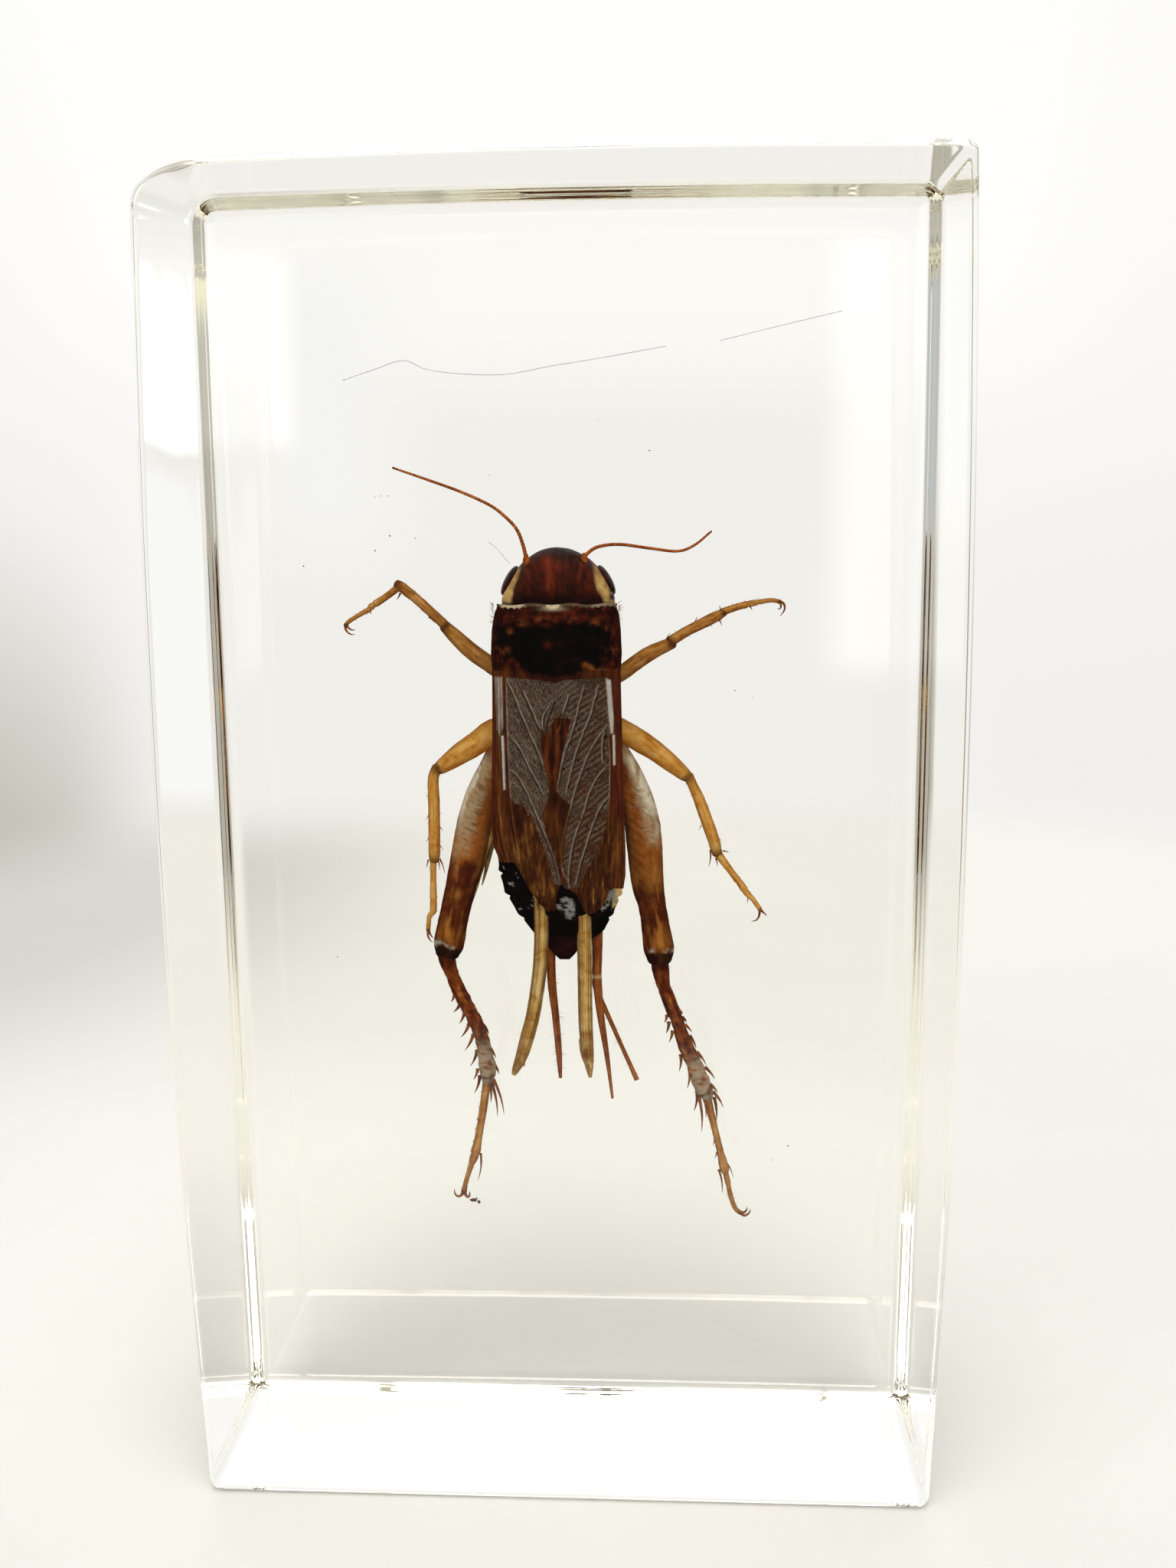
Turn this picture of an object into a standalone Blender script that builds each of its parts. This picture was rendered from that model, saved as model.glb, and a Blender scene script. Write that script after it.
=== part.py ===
"""A clear cast-resin block of the kind that holds one dried insect, at its real size.

The block is one casting, so it is one solid. Its frame: +Z up, +Y from the front
face to the back face, origin on the resting face at the middle of the block.
The faces were ground and polished by hand: the two sides and the top are very
slightly bowed, more at the front edge than at the back, and the resting face,
the front and the back are flat. One top corner is rubbed much rounder than the
other three at the front, and runs out to a sharp corner at the back.
"""

import math

import bmesh
import bpy

# ---- driving dimensions, in metres ------------------------------------------
HEIGHT = 0.0730  # resting face to the top edge, at its two corners
WIDTH = 0.0414  # across the front face, at its four corners
DEPTH = 0.0190  # front face to back face

SIDE_BOW_FRONT = 0.00070  # how far a side stands out at mid height, at the front
SIDE_BOW_BACK = 0.00030  # the same at the back
TOP_BOW_FRONT = 0.00030  # how far the top stands up at mid width, at the front
TOP_BOW_BACK = 0.00020  # the same at the back

FRONT_EDGE_RADIUS = 0.00055  # rounding of the edge around the front face
BACK_EDGE_RADIUS = 0.00095  # rounding of the edge around the back face

# Corner radii of the outline, seen from the front, as (along X, along Z).
CORNER_BOTTOM_LEFT = (0.00075, 0.00075)
CORNER_BOTTOM_RIGHT = (0.00075, 0.00075)
CORNER_TOP_RIGHT = (0.00065, 0.00065)
CORNER_TOP_LEFT_FRONT = (0.00400, 0.00230)  # the one that is rubbed round
CORNER_TOP_LEFT_BACK = (0.00110, 0.00110)  # the same corner at the back
SHARP = 0.00010  # least radius that an inset corner keeps

CORNER_STEPS = 8  # segments round a corner of the outline
SIDE_STEPS = 20  # segments up a bowed side
TOP_STEPS = 12  # segments along the bowed top
BOTTOM_STEPS = 4  # segments along the flat resting face
ROUND_STEPS = 5  # segments across an edge's rounding


def bow(t, height):
    """A shallow arch: 0 at both ends of a side, its full height in the middle."""
    return height * (1.0 - (2.0 * t - 1.0) ** 2)


def corner(centre, radii, start):
    """Points of a quarter ellipse from the angle start, anticlockwise, in X and Z."""
    points = []
    for i in range(CORNER_STEPS + 1):
        a = start + 0.5 * math.pi * i / CORNER_STEPS
        points.append(
            (centre[0] + radii[0] * math.cos(a), centre[1] + radii[1] * math.sin(a))
        )
    return points


def outline(inset, side_bow, top_bow, top_left):
    """The block's outline in X and Z, anticlockwise from the resting face, moved in by inset."""
    half = 0.5 * WIDTH

    def radii(corner_radii):
        return [max(r - inset, SHARP) for r in corner_radii]

    left, right, low, high = -half + inset, half - inset, inset, HEIGHT - inset
    bl, br = radii(CORNER_BOTTOM_LEFT), radii(CORNER_BOTTOM_RIGHT)
    tr, tl = radii(CORNER_TOP_RIGHT), radii(top_left)
    points = []
    # resting face, left to right
    x0, x1 = left + bl[0], right - br[0]
    for i in range(1, BOTTOM_STEPS):
        points.append((x0 + (x1 - x0) * i / BOTTOM_STEPS, low))
    points += corner((x1, low + br[1]), br, -0.5 * math.pi)
    # right side, upwards
    z0, z1 = low + br[1], high - tr[1]
    for i in range(1, SIDE_STEPS):
        t = i / SIDE_STEPS
        points.append((right + bow(t, side_bow), z0 + (z1 - z0) * t))
    points += corner((right - tr[0], z1), tr, 0.0)
    # top, right to left
    x0, x1 = right - tr[0], left + tl[0]
    for i in range(1, TOP_STEPS):
        t = i / TOP_STEPS
        points.append((x0 + (x1 - x0) * t, high + bow(t, top_bow)))
    points += corner((x1, high - tl[1]), tl, 0.5 * math.pi)
    # left side, downwards
    z0, z1 = high - tl[1], low + bl[1]
    for i in range(1, SIDE_STEPS):
        t = i / SIDE_STEPS
        points.append((left - bow(t, side_bow), z0 + (z1 - z0) * t))
    points += corner((left + bl[0], z1), bl, math.pi)
    return points


def rings():
    """(y, inset, side bow, top bow, top left corner) of each ring of the casting, from front to back."""
    front, back = -0.5 * DEPTH, 0.5 * DEPTH
    angles = [0.5 * math.pi * i / ROUND_STEPS for i in range(ROUND_STEPS + 1)]
    places = [
        (
            front + FRONT_EDGE_RADIUS * (1.0 - math.cos(a)),
            FRONT_EDGE_RADIUS * (1.0 - math.sin(a)),
        )
        for a in angles
    ]
    places += [
        (
            back - BACK_EDGE_RADIUS * (1.0 - math.cos(a)),
            BACK_EDGE_RADIUS * (1.0 - math.sin(a)),
        )
        for a in reversed(angles)
    ]
    found = []
    for y, inset in places:
        t = (y - front) / DEPTH
        side_bow = SIDE_BOW_FRONT + (SIDE_BOW_BACK - SIDE_BOW_FRONT) * t
        top_bow = TOP_BOW_FRONT + (TOP_BOW_BACK - TOP_BOW_FRONT) * t
        top_left = [
            a + (b - a) * t for a, b in zip(CORNER_TOP_LEFT_FRONT, CORNER_TOP_LEFT_BACK)
        ]
        found.append((y, inset, side_bow, top_bow, top_left))
    return found


def resin_material():
    material = bpy.data.materials.new("clear_resin")
    material.use_nodes = True
    shader = material.node_tree.nodes["Principled BSDF"]
    shader.inputs["Base Color"].default_value = (0.93, 0.92, 0.86, 1.0)
    shader.inputs["Roughness"].default_value = 0.02
    shader.inputs["Metallic"].default_value = 0.0
    shader.inputs["IOR"].default_value = 1.52
    shader.inputs["Transmission Weight"].default_value = 1.0
    return material


def resin_block():
    mesh = bpy.data.meshes.new("resin_block")
    bm = bmesh.new()
    loops = []
    for y, *shape in rings():
        loops.append([bm.verts.new((x, y, z)) for x, z in outline(*shape)])
    count = len(loops[0])
    for near, far in zip(loops, loops[1:]):
        for i in range(count):
            j = (i + 1) % count
            bm.faces.new((near[i], far[i], far[j], near[j]))
    bm.faces.new(loops[0])
    bm.faces.new(list(reversed(loops[-1])))
    bmesh.ops.recalc_face_normals(bm, faces=bm.faces)
    bm.to_mesh(mesh)
    bm.free()
    mesh.materials.append(resin_material())
    mesh.shade_smooth()
    mesh.set_sharp_from_angle(angle=math.radians(30.0))
    block = bpy.data.objects.new("resin_block", mesh)
    bpy.context.scene.collection.objects.link(block)
    return block


for obj in list(bpy.data.objects):
    bpy.data.objects.remove(obj, do_unlink=True)

resin_block()
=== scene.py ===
"""A dried cricket sealed in an upright block of clear resin, seen from its back.

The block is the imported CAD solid, made again here with finer rounded edges. Everything
sealed in it is made here. All positions are in millimetres in the CAD frame (+Z up,
+Y from the front face to the back face) and become metres when a mesh is written.
The insect's outlines are (x, z) places on the middle plane of the block. seen() moves
such a place to any depth along the line of sight through the resin, so a shape keeps
its place in the front view whatever depth it is given.
"""

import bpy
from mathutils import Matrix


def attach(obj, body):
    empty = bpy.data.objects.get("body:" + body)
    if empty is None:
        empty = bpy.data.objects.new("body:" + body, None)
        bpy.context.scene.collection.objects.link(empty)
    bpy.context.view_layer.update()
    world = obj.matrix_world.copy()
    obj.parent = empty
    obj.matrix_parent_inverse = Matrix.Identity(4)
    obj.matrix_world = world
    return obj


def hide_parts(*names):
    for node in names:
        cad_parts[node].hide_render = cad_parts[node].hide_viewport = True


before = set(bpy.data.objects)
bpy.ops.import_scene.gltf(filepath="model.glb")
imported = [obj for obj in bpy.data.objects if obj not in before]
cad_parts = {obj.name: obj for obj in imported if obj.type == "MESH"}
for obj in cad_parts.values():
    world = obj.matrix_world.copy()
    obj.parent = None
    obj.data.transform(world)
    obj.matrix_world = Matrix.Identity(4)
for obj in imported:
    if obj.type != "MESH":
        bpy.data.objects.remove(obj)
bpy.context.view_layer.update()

import math
import random

import bmesh
import bpy
import numpy as np
from mathutils import Matrix, Vector

MM = 0.001
rng = random.Random(20261)
scene = bpy.context.scene

# ------------------------------------------------------------------ numbers and noise


def smoothstep(low, high, x):
    t = np.clip((np.asarray(x, float) - low) / (high - low), 0.0, 1.0)
    return t * t * (3.0 - 2.0 * t)


def _hash(ix, iy, iz, seed):
    n = (ix * 374761393 + iy * 668265263 + iz * 1442695041 + seed * 974634777) & 0xFFFFFFFF
    n = ((n ^ (n >> 13)) * 1274126177) & 0xFFFFFFFF
    n = n ^ (n >> 16)
    return (n & 0xFFFFFF) / float(0x1000000)


def noise3(x, y, z, seed=0):
    """Smooth value noise, from -1 to 1."""
    x, y, z = np.broadcast_arrays(np.asarray(x, float), np.asarray(y, float), np.asarray(z, float))
    ix, iy, iz = (np.floor(v).astype(np.int64) for v in (x, y, z))
    fx, fy, fz = x - ix, y - iy, z - iz
    fx, fy, fz = (f * f * (3.0 - 2.0 * f) for f in (fx, fy, fz))
    total = 0.0
    for dx in (0, 1):
        for dy in (0, 1):
            for dz in (0, 1):
                w = (fx if dx else 1 - fx) * (fy if dy else 1 - fy) * (fz if dz else 1 - fz)
                total = total + w * _hash(ix + dx, iy + dy, iz + dz, seed)
    return total * 2.0 - 1.0


def fbm(x, y, z=0.0, seed=0, octaves=4):
    total, size, norm = 0.0, 1.0, 0.0
    for i in range(octaves):
        k = 2.03**i
        total = total + size * noise3(np.asarray(x) * k, np.asarray(y) * k, np.asarray(z) * k, seed + 17 * i)
        norm += size
        size *= 0.5
    return total / norm


def line_distance(x, z, line):
    """Distance from each point to a polyline, and on which side of it the point lies."""
    best = np.full(np.shape(x), 1e9)
    side = np.zeros(np.shape(x))
    run = np.zeros(np.shape(x))
    length = 0.0
    for (ax, az), (bx, bz) in zip(line, line[1:]):
        dx, dz = bx - ax, bz - az
        n = math.hypot(dx, dz)
        t = np.clip(((x - ax) * dx + (z - az) * dz) / (n * n), 0.0, 1.0)
        px, pz = x - ax - t * dx, z - az - t * dz
        d = np.hypot(px, pz)
        better = d < best
        best = np.where(better, d, best)
        side = np.where(better, np.sign(dx * pz - dz * px), side)
        run = np.where(better, length + t * n, run)
        length += n
    return best, side, run / length


def inside(x, z, outline):
    found = np.zeros(np.shape(x), bool)
    points = list(outline)
    for (ax, az), (bx, bz) in zip(points, points[1:] + points[:1]):
        if az == bz:
            continue
        crosses = ((az > z) != (bz > z)) & (x < (bx - ax) * (z - az) / (bz - az) + ax)
        found ^= crosses
    return found


def region(x, z, outline, soft=0.08):
    """1 inside an outline, 0 outside, with a soft edge."""
    points = list(outline)
    d, _, _ = line_distance(x, z, points + points[:1])
    d = np.where(inside(x, z, outline), d, -d)
    return smoothstep(-soft, soft, d)


def smooth_line(points, count, closed=False):
    """Catmull-Rom through rows of numbers, resampled to even steps along the first columns."""
    p = np.array(points, float)
    if len(p) == 2:
        t = np.linspace(0, 1, count)[:, None]
        return p[0] * (1 - t) + p[1] * t
    ends = np.vstack([2 * p[0] - p[1], p, 2 * p[-1] - p[-2]])
    fine = []
    for i in range(1, len(ends) - 2):
        a, b, c, d = ends[i - 1], ends[i], ends[i + 1], ends[i + 2]
        for t in np.linspace(0, 1, 24, endpoint=False):
            fine.append(
                0.5
                * (
                    2 * b
                    + (c - a) * t
                    + (2 * a - 5 * b + 4 * c - d) * t * t
                    + (3 * b - a - 3 * c + d) * t**3
                )
            )
    fine.append(p[-1])
    fine = np.array(fine)
    step = np.hypot(np.diff(fine[:, 0]), np.diff(fine[:, 1]))
    run = np.concatenate([[0], np.cumsum(step)])
    want = np.linspace(0, run[-1], count)
    return np.stack([np.interp(want, run, fine[:, k]) for k in range(fine.shape[1])], axis=1)


# the place inside the resin from which every refracted line of sight seems to come
EYE = np.array([5.73, -122.1, 55.64])


def seen(x, z, y):
    """Moves places (x, z) of the middle plane to depth y along the line of sight."""
    x, z, y = np.broadcast_arrays(np.asarray(x, float), np.asarray(z, float), np.asarray(y, float))
    k = (y - EYE[1]) / (0.0 - EYE[1])
    return np.stack([EYE[0] + (x - EYE[0]) * k, y, EYE[2] + (z - EYE[2]) * k], axis=-1)


# ------------------------------------------------------------------ mesh makers


def write(name, points, faces, material, attributes=None, sharp=50.0, body="root"):
    """A mesh piece from points in millimetres, with float attributes on its points."""
    mesh = bpy.data.meshes.new(name)
    mesh.from_pydata((np.asarray(points, float) * MM).tolist(), [], [list(map(int, f)) for f in faces])
    bm = bmesh.new()
    bm.from_mesh(mesh)
    bmesh.ops.recalc_face_normals(bm, faces=bm.faces)
    bm.to_mesh(mesh)
    bm.free()
    mesh.materials.append(material)
    mesh.shade_smooth()
    if sharp:
        mesh.set_sharp_from_angle(angle=math.radians(sharp))
    for key, values in (attributes or {}).items():
        attribute = mesh.attributes.new(key, "FLOAT", "POINT")
        attribute.data.foreach_set("value", np.asarray(values, np.float32).ravel())
    obj = bpy.data.objects.new(name, mesh)
    scene.collection.objects.link(obj)
    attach(obj, body)
    return obj


def grid_faces(rows, cols, wrap=False, start=0):
    faces = []
    last = cols if wrap else cols - 1
    for r in range(rows - 1):
        for c in range(last):
            d = (c + 1) % cols
            faces.append(
                (start + r * cols + c, start + r * cols + d, start + (r + 1) * cols + d, start + (r + 1) * cols + c)
            )
    return faces


class Soup:
    """Collects several closed shapes into one piece."""

    def __init__(self):
        self.points, self.faces, self.data = [], [], {}

    def add(self, points, faces, **attributes):
        n = len(self.points)
        self.points.extend(np.asarray(points, float).reshape(-1, 3).tolist())
        self.faces.extend([tuple(i + n for i in f) for f in faces])
        m = len(self.points) - n
        for key in set(self.data) | set(attributes):
            have = self.data.setdefault(key, [0.0] * n)
            have.extend(np.broadcast_to(np.asarray(attributes.get(key, 0.0), float).ravel(), (m,)).tolist()
                        if np.ndim(attributes.get(key, 0.0)) == 0
                        else np.asarray(attributes[key], float).ravel().tolist())

    def write(self, name, material, sharp=50.0):
        return write(name, self.points, self.faces, material, self.data, sharp)


def frames(path):
    """For each point of a path: its direction, the direction across it in the front view, and the depth direction."""
    t = np.gradient(path, axis=0)
    t /= np.maximum(np.linalg.norm(t, axis=1, keepdims=True), 1e-9)
    view = np.array([0.0, -1.0, 0.0])
    across = np.cross(t, view)
    across /= np.maximum(np.linalg.norm(across, axis=1, keepdims=True), 1e-9)
    for i in range(1, len(across)):
        if np.dot(across[i], across[i - 1]) < 0:
            across[i] = -across[i]
    depth = np.cross(across, t)
    return t, across, depth


def tube(rows, around=20, count=40, shape=None, square=2.0, start_round=True, end_round=True, seed=None, rough=0.0):
    """Points, faces and attributes of a closed tube. rows: (x, z, y, half width, half depth).
    shape(u, a) gives an extra radius factor from the place along the tube and the angle."""
    line = smooth_line(rows, count)
    path = seen(line[:, 0], line[:, 1], line[:, 2])
    t, across, depth = frames(path)
    u = np.linspace(0, 1, count)
    rings, us, factors = [], [], []
    half = line[:, 3]
    order = []
    if start_round:
        for k in (0.0, 0.25, 0.5, 0.75):
            order.append((0, math.sin(max(k, 0.03) * math.pi / 2), -math.cos(k * math.pi / 2) * 0.7))
    order += [(i, 1.0, 0.0) for i in range(count)]
    if end_round:
        for k in (0.75, 0.5, 0.25, 0.0):
            order.append((count - 1, math.sin(max(k, 0.03) * math.pi / 2), math.cos(k * math.pi / 2) * 0.7))
    a = np.linspace(0, 2 * math.pi, around, endpoint=False)
    ca, sa = np.cos(a), np.sin(a)
    if square != 2.0:
        ca = np.sign(ca) * np.abs(ca) ** (2.0 / square)
        sa = np.sign(sa) * np.abs(sa) ** (2.0 / square)
    for i, factor, shift in order:
        centre = path[i] + t[i] * shift * min(half[i], line[i, 4])
        grow = np.ones(around) if shape is None else shape(u[i], a)
        ring = (
            centre
            + across[i] * (ca * line[i, 3] * factor * grow)[:, None]
            + depth[i] * (sa * line[i, 4] * factor * grow)[:, None]
        )
        rings.append(ring)
        us.append(u[i])
    rings = np.array(rings)
    if rough:
        flat = rings.reshape(-1, 3)
        n = fbm(flat[:, 0] * 2.6, flat[:, 1] * 2.6, flat[:, 2] * 2.6, seed or 3, 4).reshape(rings.shape[:2])
        centre = rings.mean(axis=1, keepdims=True)
        rings = rings + (rings - centre) * (n * rough)[:, :, None]
    points = rings.reshape(-1, 3)
    faces = grid_faces(len(rings), around, wrap=True)
    faces.append(tuple(range(around)))
    faces.append(tuple(reversed(range(len(points) - around, len(points)))))
    along = np.repeat(us, around)
    angle = np.tile(a / (2 * math.pi), len(rings))
    # edge darkens both sides of a tube as seen from the front: partly the limbs' own darker edges, partly painted shade
    # that gives them form
    edge = np.tile(np.abs(np.cos(a)) ** 3, len(rings))
    return points, faces, {"along": along, "angle": angle, "edge": edge}


def spike(base, tip, radius, bend=(0, 0, 0), around=8, count=9):
    """A curved thorn from base to tip, both 3-D points."""
    base, tip, bend = (np.asarray(v, float) for v in (base, tip, bend))
    u = np.linspace(0, 1, count)
    path = base + (tip - base) * u[:, None] + bend * (4 * u * (1 - u))[:, None]
    t = np.gradient(path, axis=0)
    t /= np.linalg.norm(t, axis=1, keepdims=True)
    side = np.cross(t, [0.13, 1.0, 0.21])
    side /= np.linalg.norm(side, axis=1, keepdims=True)
    up = np.cross(t, side)
    r = radius * (1.0 - u) ** 0.75
    r[0] *= 1.15
    a = np.linspace(0, 2 * math.pi, around, endpoint=False)
    rings = (
        path[:-1, None, :]
        + side[:-1, None, :] * (np.cos(a)[None, :, None] * r[:-1, None, None])
        + up[:-1, None, :] * (np.sin(a)[None, :, None] * r[:-1, None, None])
    )
    points = np.vstack([rings.reshape(-1, 3), path[-1:]])
    faces = grid_faces(count - 1, around, wrap=True)
    n = len(points) - 1
    for c in range(around):
        faces.append(((count - 2) * around + c, (count - 2) * around + (c + 1) % around, n))
    faces.append(tuple(reversed(range(around))))
    along = np.concatenate([np.repeat(u[:-1], around), [1.0]])
    return points, faces, {"along": along}


def ball(centre, radii, rows=24, cols=32, shape=None, rotate=None):
    """An ellipsoid as points and faces. shape(d) gives a radius factor for unit directions."""
    phi = np.linspace(0, math.pi, rows)
    th = np.linspace(0, 2 * math.pi, cols, endpoint=False)
    d = np.stack(
        [
            np.sin(phi)[1:-1, None] * np.cos(th)[None, :],
            np.sin(phi)[1:-1, None] * np.sin(th)[None, :],
            np.cos(phi)[1:-1, None] * np.ones(cols)[None, :],
        ],
        axis=-1,
    ).reshape(-1, 3)
    d = np.vstack([d, [[0, 0, 1.0]], [[0, 0, -1.0]]])
    p = d * np.array(radii)
    if shape is not None:
        p = p * np.asarray(shape(d))[:, None]
    if rotate is not None:
        p = p @ np.array(rotate).T
    p = p + np.array(centre)
    faces = grid_faces(rows - 2, cols, wrap=True)
    top, bottom = len(p) - 2, len(p) - 1
    for c in range(cols):
        faces.append((c, (c + 1) % cols, top))
        faces.append(((rows - 3) * cols + (c + 1) % cols, (rows - 3) * cols + c, bottom))
    return p, faces, d


def plate(outer, thickness):
    """A closed thin plate from a grid of points (rows, cols, 3). thickness is a number or a grid."""
    du = np.gradient(outer, axis=1)
    dv = np.gradient(outer, axis=0)
    n = np.cross(du, dv)
    n /= np.maximum(np.linalg.norm(n, axis=2, keepdims=True), 1e-9)
    if n[n.shape[0] // 2, n.shape[1] // 2, 1] > 0:
        n = -n
    thickness = np.broadcast_to(np.asarray(thickness, float), outer.shape[:2])
    inner = outer - n * thickness[:, :, None]
    rows, cols = outer.shape[:2]
    points = np.vstack([outer.reshape(-1, 3), inner.reshape(-1, 3)])
    faces = grid_faces(rows, cols)
    m = rows * cols
    faces += [tuple(reversed([i + m for i in f])) for f in grid_faces(rows, cols)]
    rim = (
        [(0, c) for c in range(cols)]
        + [(r, cols - 1) for r in range(1, rows)]
        + [(rows - 1, c) for c in range(cols - 2, -1, -1)]
        + [(r, 0) for r in range(rows - 2, 0, -1)]
    )
    ids = [r * cols + c for r, c in rim]
    for i, j in zip(ids, ids[1:] + ids[:1]):
        faces.append((i, i + m, j + m, j))
    return points, faces


def both(values):
    """Attribute values for both faces of a plate."""
    v = np.asarray(values, float).ravel()
    return np.concatenate([v, v])


# ------------------------------------------------------------------ materials


def linear(r, g, b):
    """An sRGB colour, 0 to 255, as linear values."""
    out = []
    for c in (r, g, b):
        c /= 255.0
        out.append(c / 12.92 if c <= 0.04045 else ((c + 0.055) / 1.055) ** 2.4)
    return (*out, 1.0)


class Paint:
    """Builds a node material."""

    def __init__(self, name):
        self.material = bpy.data.materials.new(name)
        self.material.use_nodes = True
        self.tree = self.material.node_tree
        self.tree.nodes.clear()
        self.out = self.tree.nodes.new("ShaderNodeOutputMaterial")
        self.coords = self.tree.nodes.new("ShaderNodeTexCoord").outputs["Object"]

    def add(self, kind, inputs=None, **settings):
        node = self.tree.nodes.new(kind)
        for key, value in settings.items():
            setattr(node, key, value)
        for key, value in (inputs or {}).items():
            self.put(node.inputs[key], value)
        return node

    def put(self, socket, value):
        if isinstance(value, bpy.types.NodeSocket):
            self.tree.links.new(value, socket)
        else:
            socket.default_value = value

    def noise(self, scale, detail=4.0, rough=0.55, stretch=None, distort=0.0, vector=None):
        """scale is in features per millimetre."""
        v = vector or self.coords
        mapping = self.add("ShaderNodeMapping", {"Vector": v})
        s = stretch or (1, 1, 1)
        k = 1000.0 if vector is None else 1.0
        mapping.inputs["Scale"].default_value = tuple(k * c for c in s)
        return self.add(
            "ShaderNodeTexNoise",
            {"Vector": mapping.outputs[0], "Scale": scale, "Detail": detail, "Roughness": rough, "Distortion": distort},
        ).outputs[0]

    def ramp(self, value, stops, smooth=False):
        node = self.add("ShaderNodeValToRGB", {0: value})
        ramp = node.color_ramp
        ramp.interpolation = "EASE" if smooth else "LINEAR"
        while len(ramp.elements) < len(stops):
            ramp.elements.new(0.5)
        for element, (place, colour) in zip(ramp.elements, stops):
            element.position = place
            element.color = colour if isinstance(colour, tuple) else (colour, colour, colour, 1.0)
        return node.outputs[0]

    def attribute(self, name):
        return self.add("ShaderNodeAttribute", attribute_name=name).outputs["Fac"]

    def math(self, operation, a, b=0.5, clamp=False):
        node = self.add("ShaderNodeMath", {0: a, 1: b}, operation=operation)
        node.use_clamp = clamp
        return node.outputs[0]

    def mix(self, factor, a, b, blend="MIX"):
        node = self.add("ShaderNodeMix", data_type="RGBA", blend_type=blend, clamp_factor=True)
        self.put(node.inputs[0], factor)
        self.put(node.inputs[6], a)
        self.put(node.inputs[7], b)
        return node.outputs[2]

    def bump(self, height, distance_mm, strength=1.0, normal=None):
        inputs = {"Height": height, "Distance": distance_mm * MM, "Strength": strength}
        if normal is not None:
            inputs["Normal"] = normal
        return self.add("ShaderNodeBump", inputs).outputs[0]

    def principled(self, colour, roughness=0.5, normal=None, **extra):
        inputs = {"Base Color": colour, "Roughness": roughness}
        if normal is not None:
            inputs["Normal"] = normal
        for key, value in extra.items():
            inputs[key.replace("_", " ")] = value
        return self.add("ShaderNodeBsdfPrincipled", inputs).outputs[0]

    def finish(self, surface, volume=None):
        self.tree.links.new(surface, self.out.inputs["Surface"])
        if volume is not None:
            self.tree.links.new(volume, self.out.inputs["Volume"])
        return self.material


def chitin(name, stops, blotch=1.2, grain=9.0, bump=0.02, rough=(0.36, 0.6), masks=(), streak=None,
           specular=0.0, glow=0.0, glow_colour=None, stretch=None):
    """Dry insect skin: blotches, fine grain, optional lengthwise streaks, and coloured masks from point attributes.
    masks: (attribute, colour, strength, raggedness)."""
    p = Paint(name)
    big = p.noise(blotch, 5.0, 0.6, stretch=stretch, distort=0.4)
    fine = p.noise(grain, 3.0, 0.6)
    value = big
    if streak:
        run = p.add("ShaderNodeCombineXYZ", {0: p.math("MULTIPLY", p.attribute("angle"), streak[0]),
                                             1: p.math("MULTIPLY", p.attribute("along"), streak[1])}).outputs[0]
        lines = p.noise(1.0, 4.0, 0.6, vector=run)
        value = p.math("ADD", p.math("MULTIPLY", big, 0.45), p.math("MULTIPLY", lines, 0.55))
    colour = p.ramp(value, stops)
    for attribute, shade, strength, ragged in masks:
        mask = p.attribute(attribute)
        if ragged:
            edge = p.math("MULTIPLY_ADD", p.noise(ragged, 4.0, 0.65), 1.1)
            edge.node.inputs[2].default_value = -0.55
            mask = p.math("ADD", mask, p.math("MULTIPLY", edge, p.math("MULTIPLY", mask, 1.0)), clamp=True)
        mask = p.math("MULTIPLY", mask, strength, clamp=True)
        colour = p.mix(mask, colour, shade)
    grainy = p.ramp(fine, [(0.25, 0.72), (0.75, 1.2)])
    colour = p.mix(0.7, colour, p.mix(1.0, colour, grainy, "MULTIPLY"))
    roughness = p.ramp(fine, [(0.3, rough[0]), (0.7, rough[1])])
    height = p.math("ADD", fine, p.math("MULTIPLY", big, 0.8))
    normal = p.bump(height, bump)
    extra = {"Specular_IOR_Level": specular}
    surface = p.principled(colour, roughness, normal, **extra)
    if glow:
        through = p.add("ShaderNodeBsdfTranslucent", {"Color": p.mix(0.5, colour, glow_colour or linear(220, 150, 70)), "Normal": normal})
        surface = p.add("ShaderNodeMixShader", {0: glow, 1: surface, 2: through.outputs[0]}).outputs[0]
    return p.finish(surface)


BLACK = linear(20, 9, 6)
NEARBLACK = linear(30, 13, 7)
DARKRED = linear(66, 24, 11)
REDBROWN = linear(98, 44, 18)
ORANGE = linear(158, 84, 30)
AMBER = linear(186, 124, 54)
GOLD = linear(206, 154, 84)
STRAW = linear(208, 178, 124)
LILAC = linear(134, 121, 116)
SILVER = linear(186, 182, 174)
WHITE = linear(228, 224, 214)
CREAM = linear(228, 206, 146)


# ------------------------------------------------------------------ the resin block

HEIGHT, WIDTH, DEPTH = 73.0, 41.4, 19.0
SIDE_BOW, TOP_BOW = (0.70, 0.30), (0.30, 0.20)
FRONT_RADIUS, BACK_RADIUS = 0.55, 0.95
CORNERS = {"bl": (0.75, 0.75), "br": (0.75, 0.75), "tr": (0.65, 0.65)}
TOP_LEFT = ((4.00, 2.30), (1.10, 1.10))  # rubbed round at the front, sharp at the back


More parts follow.
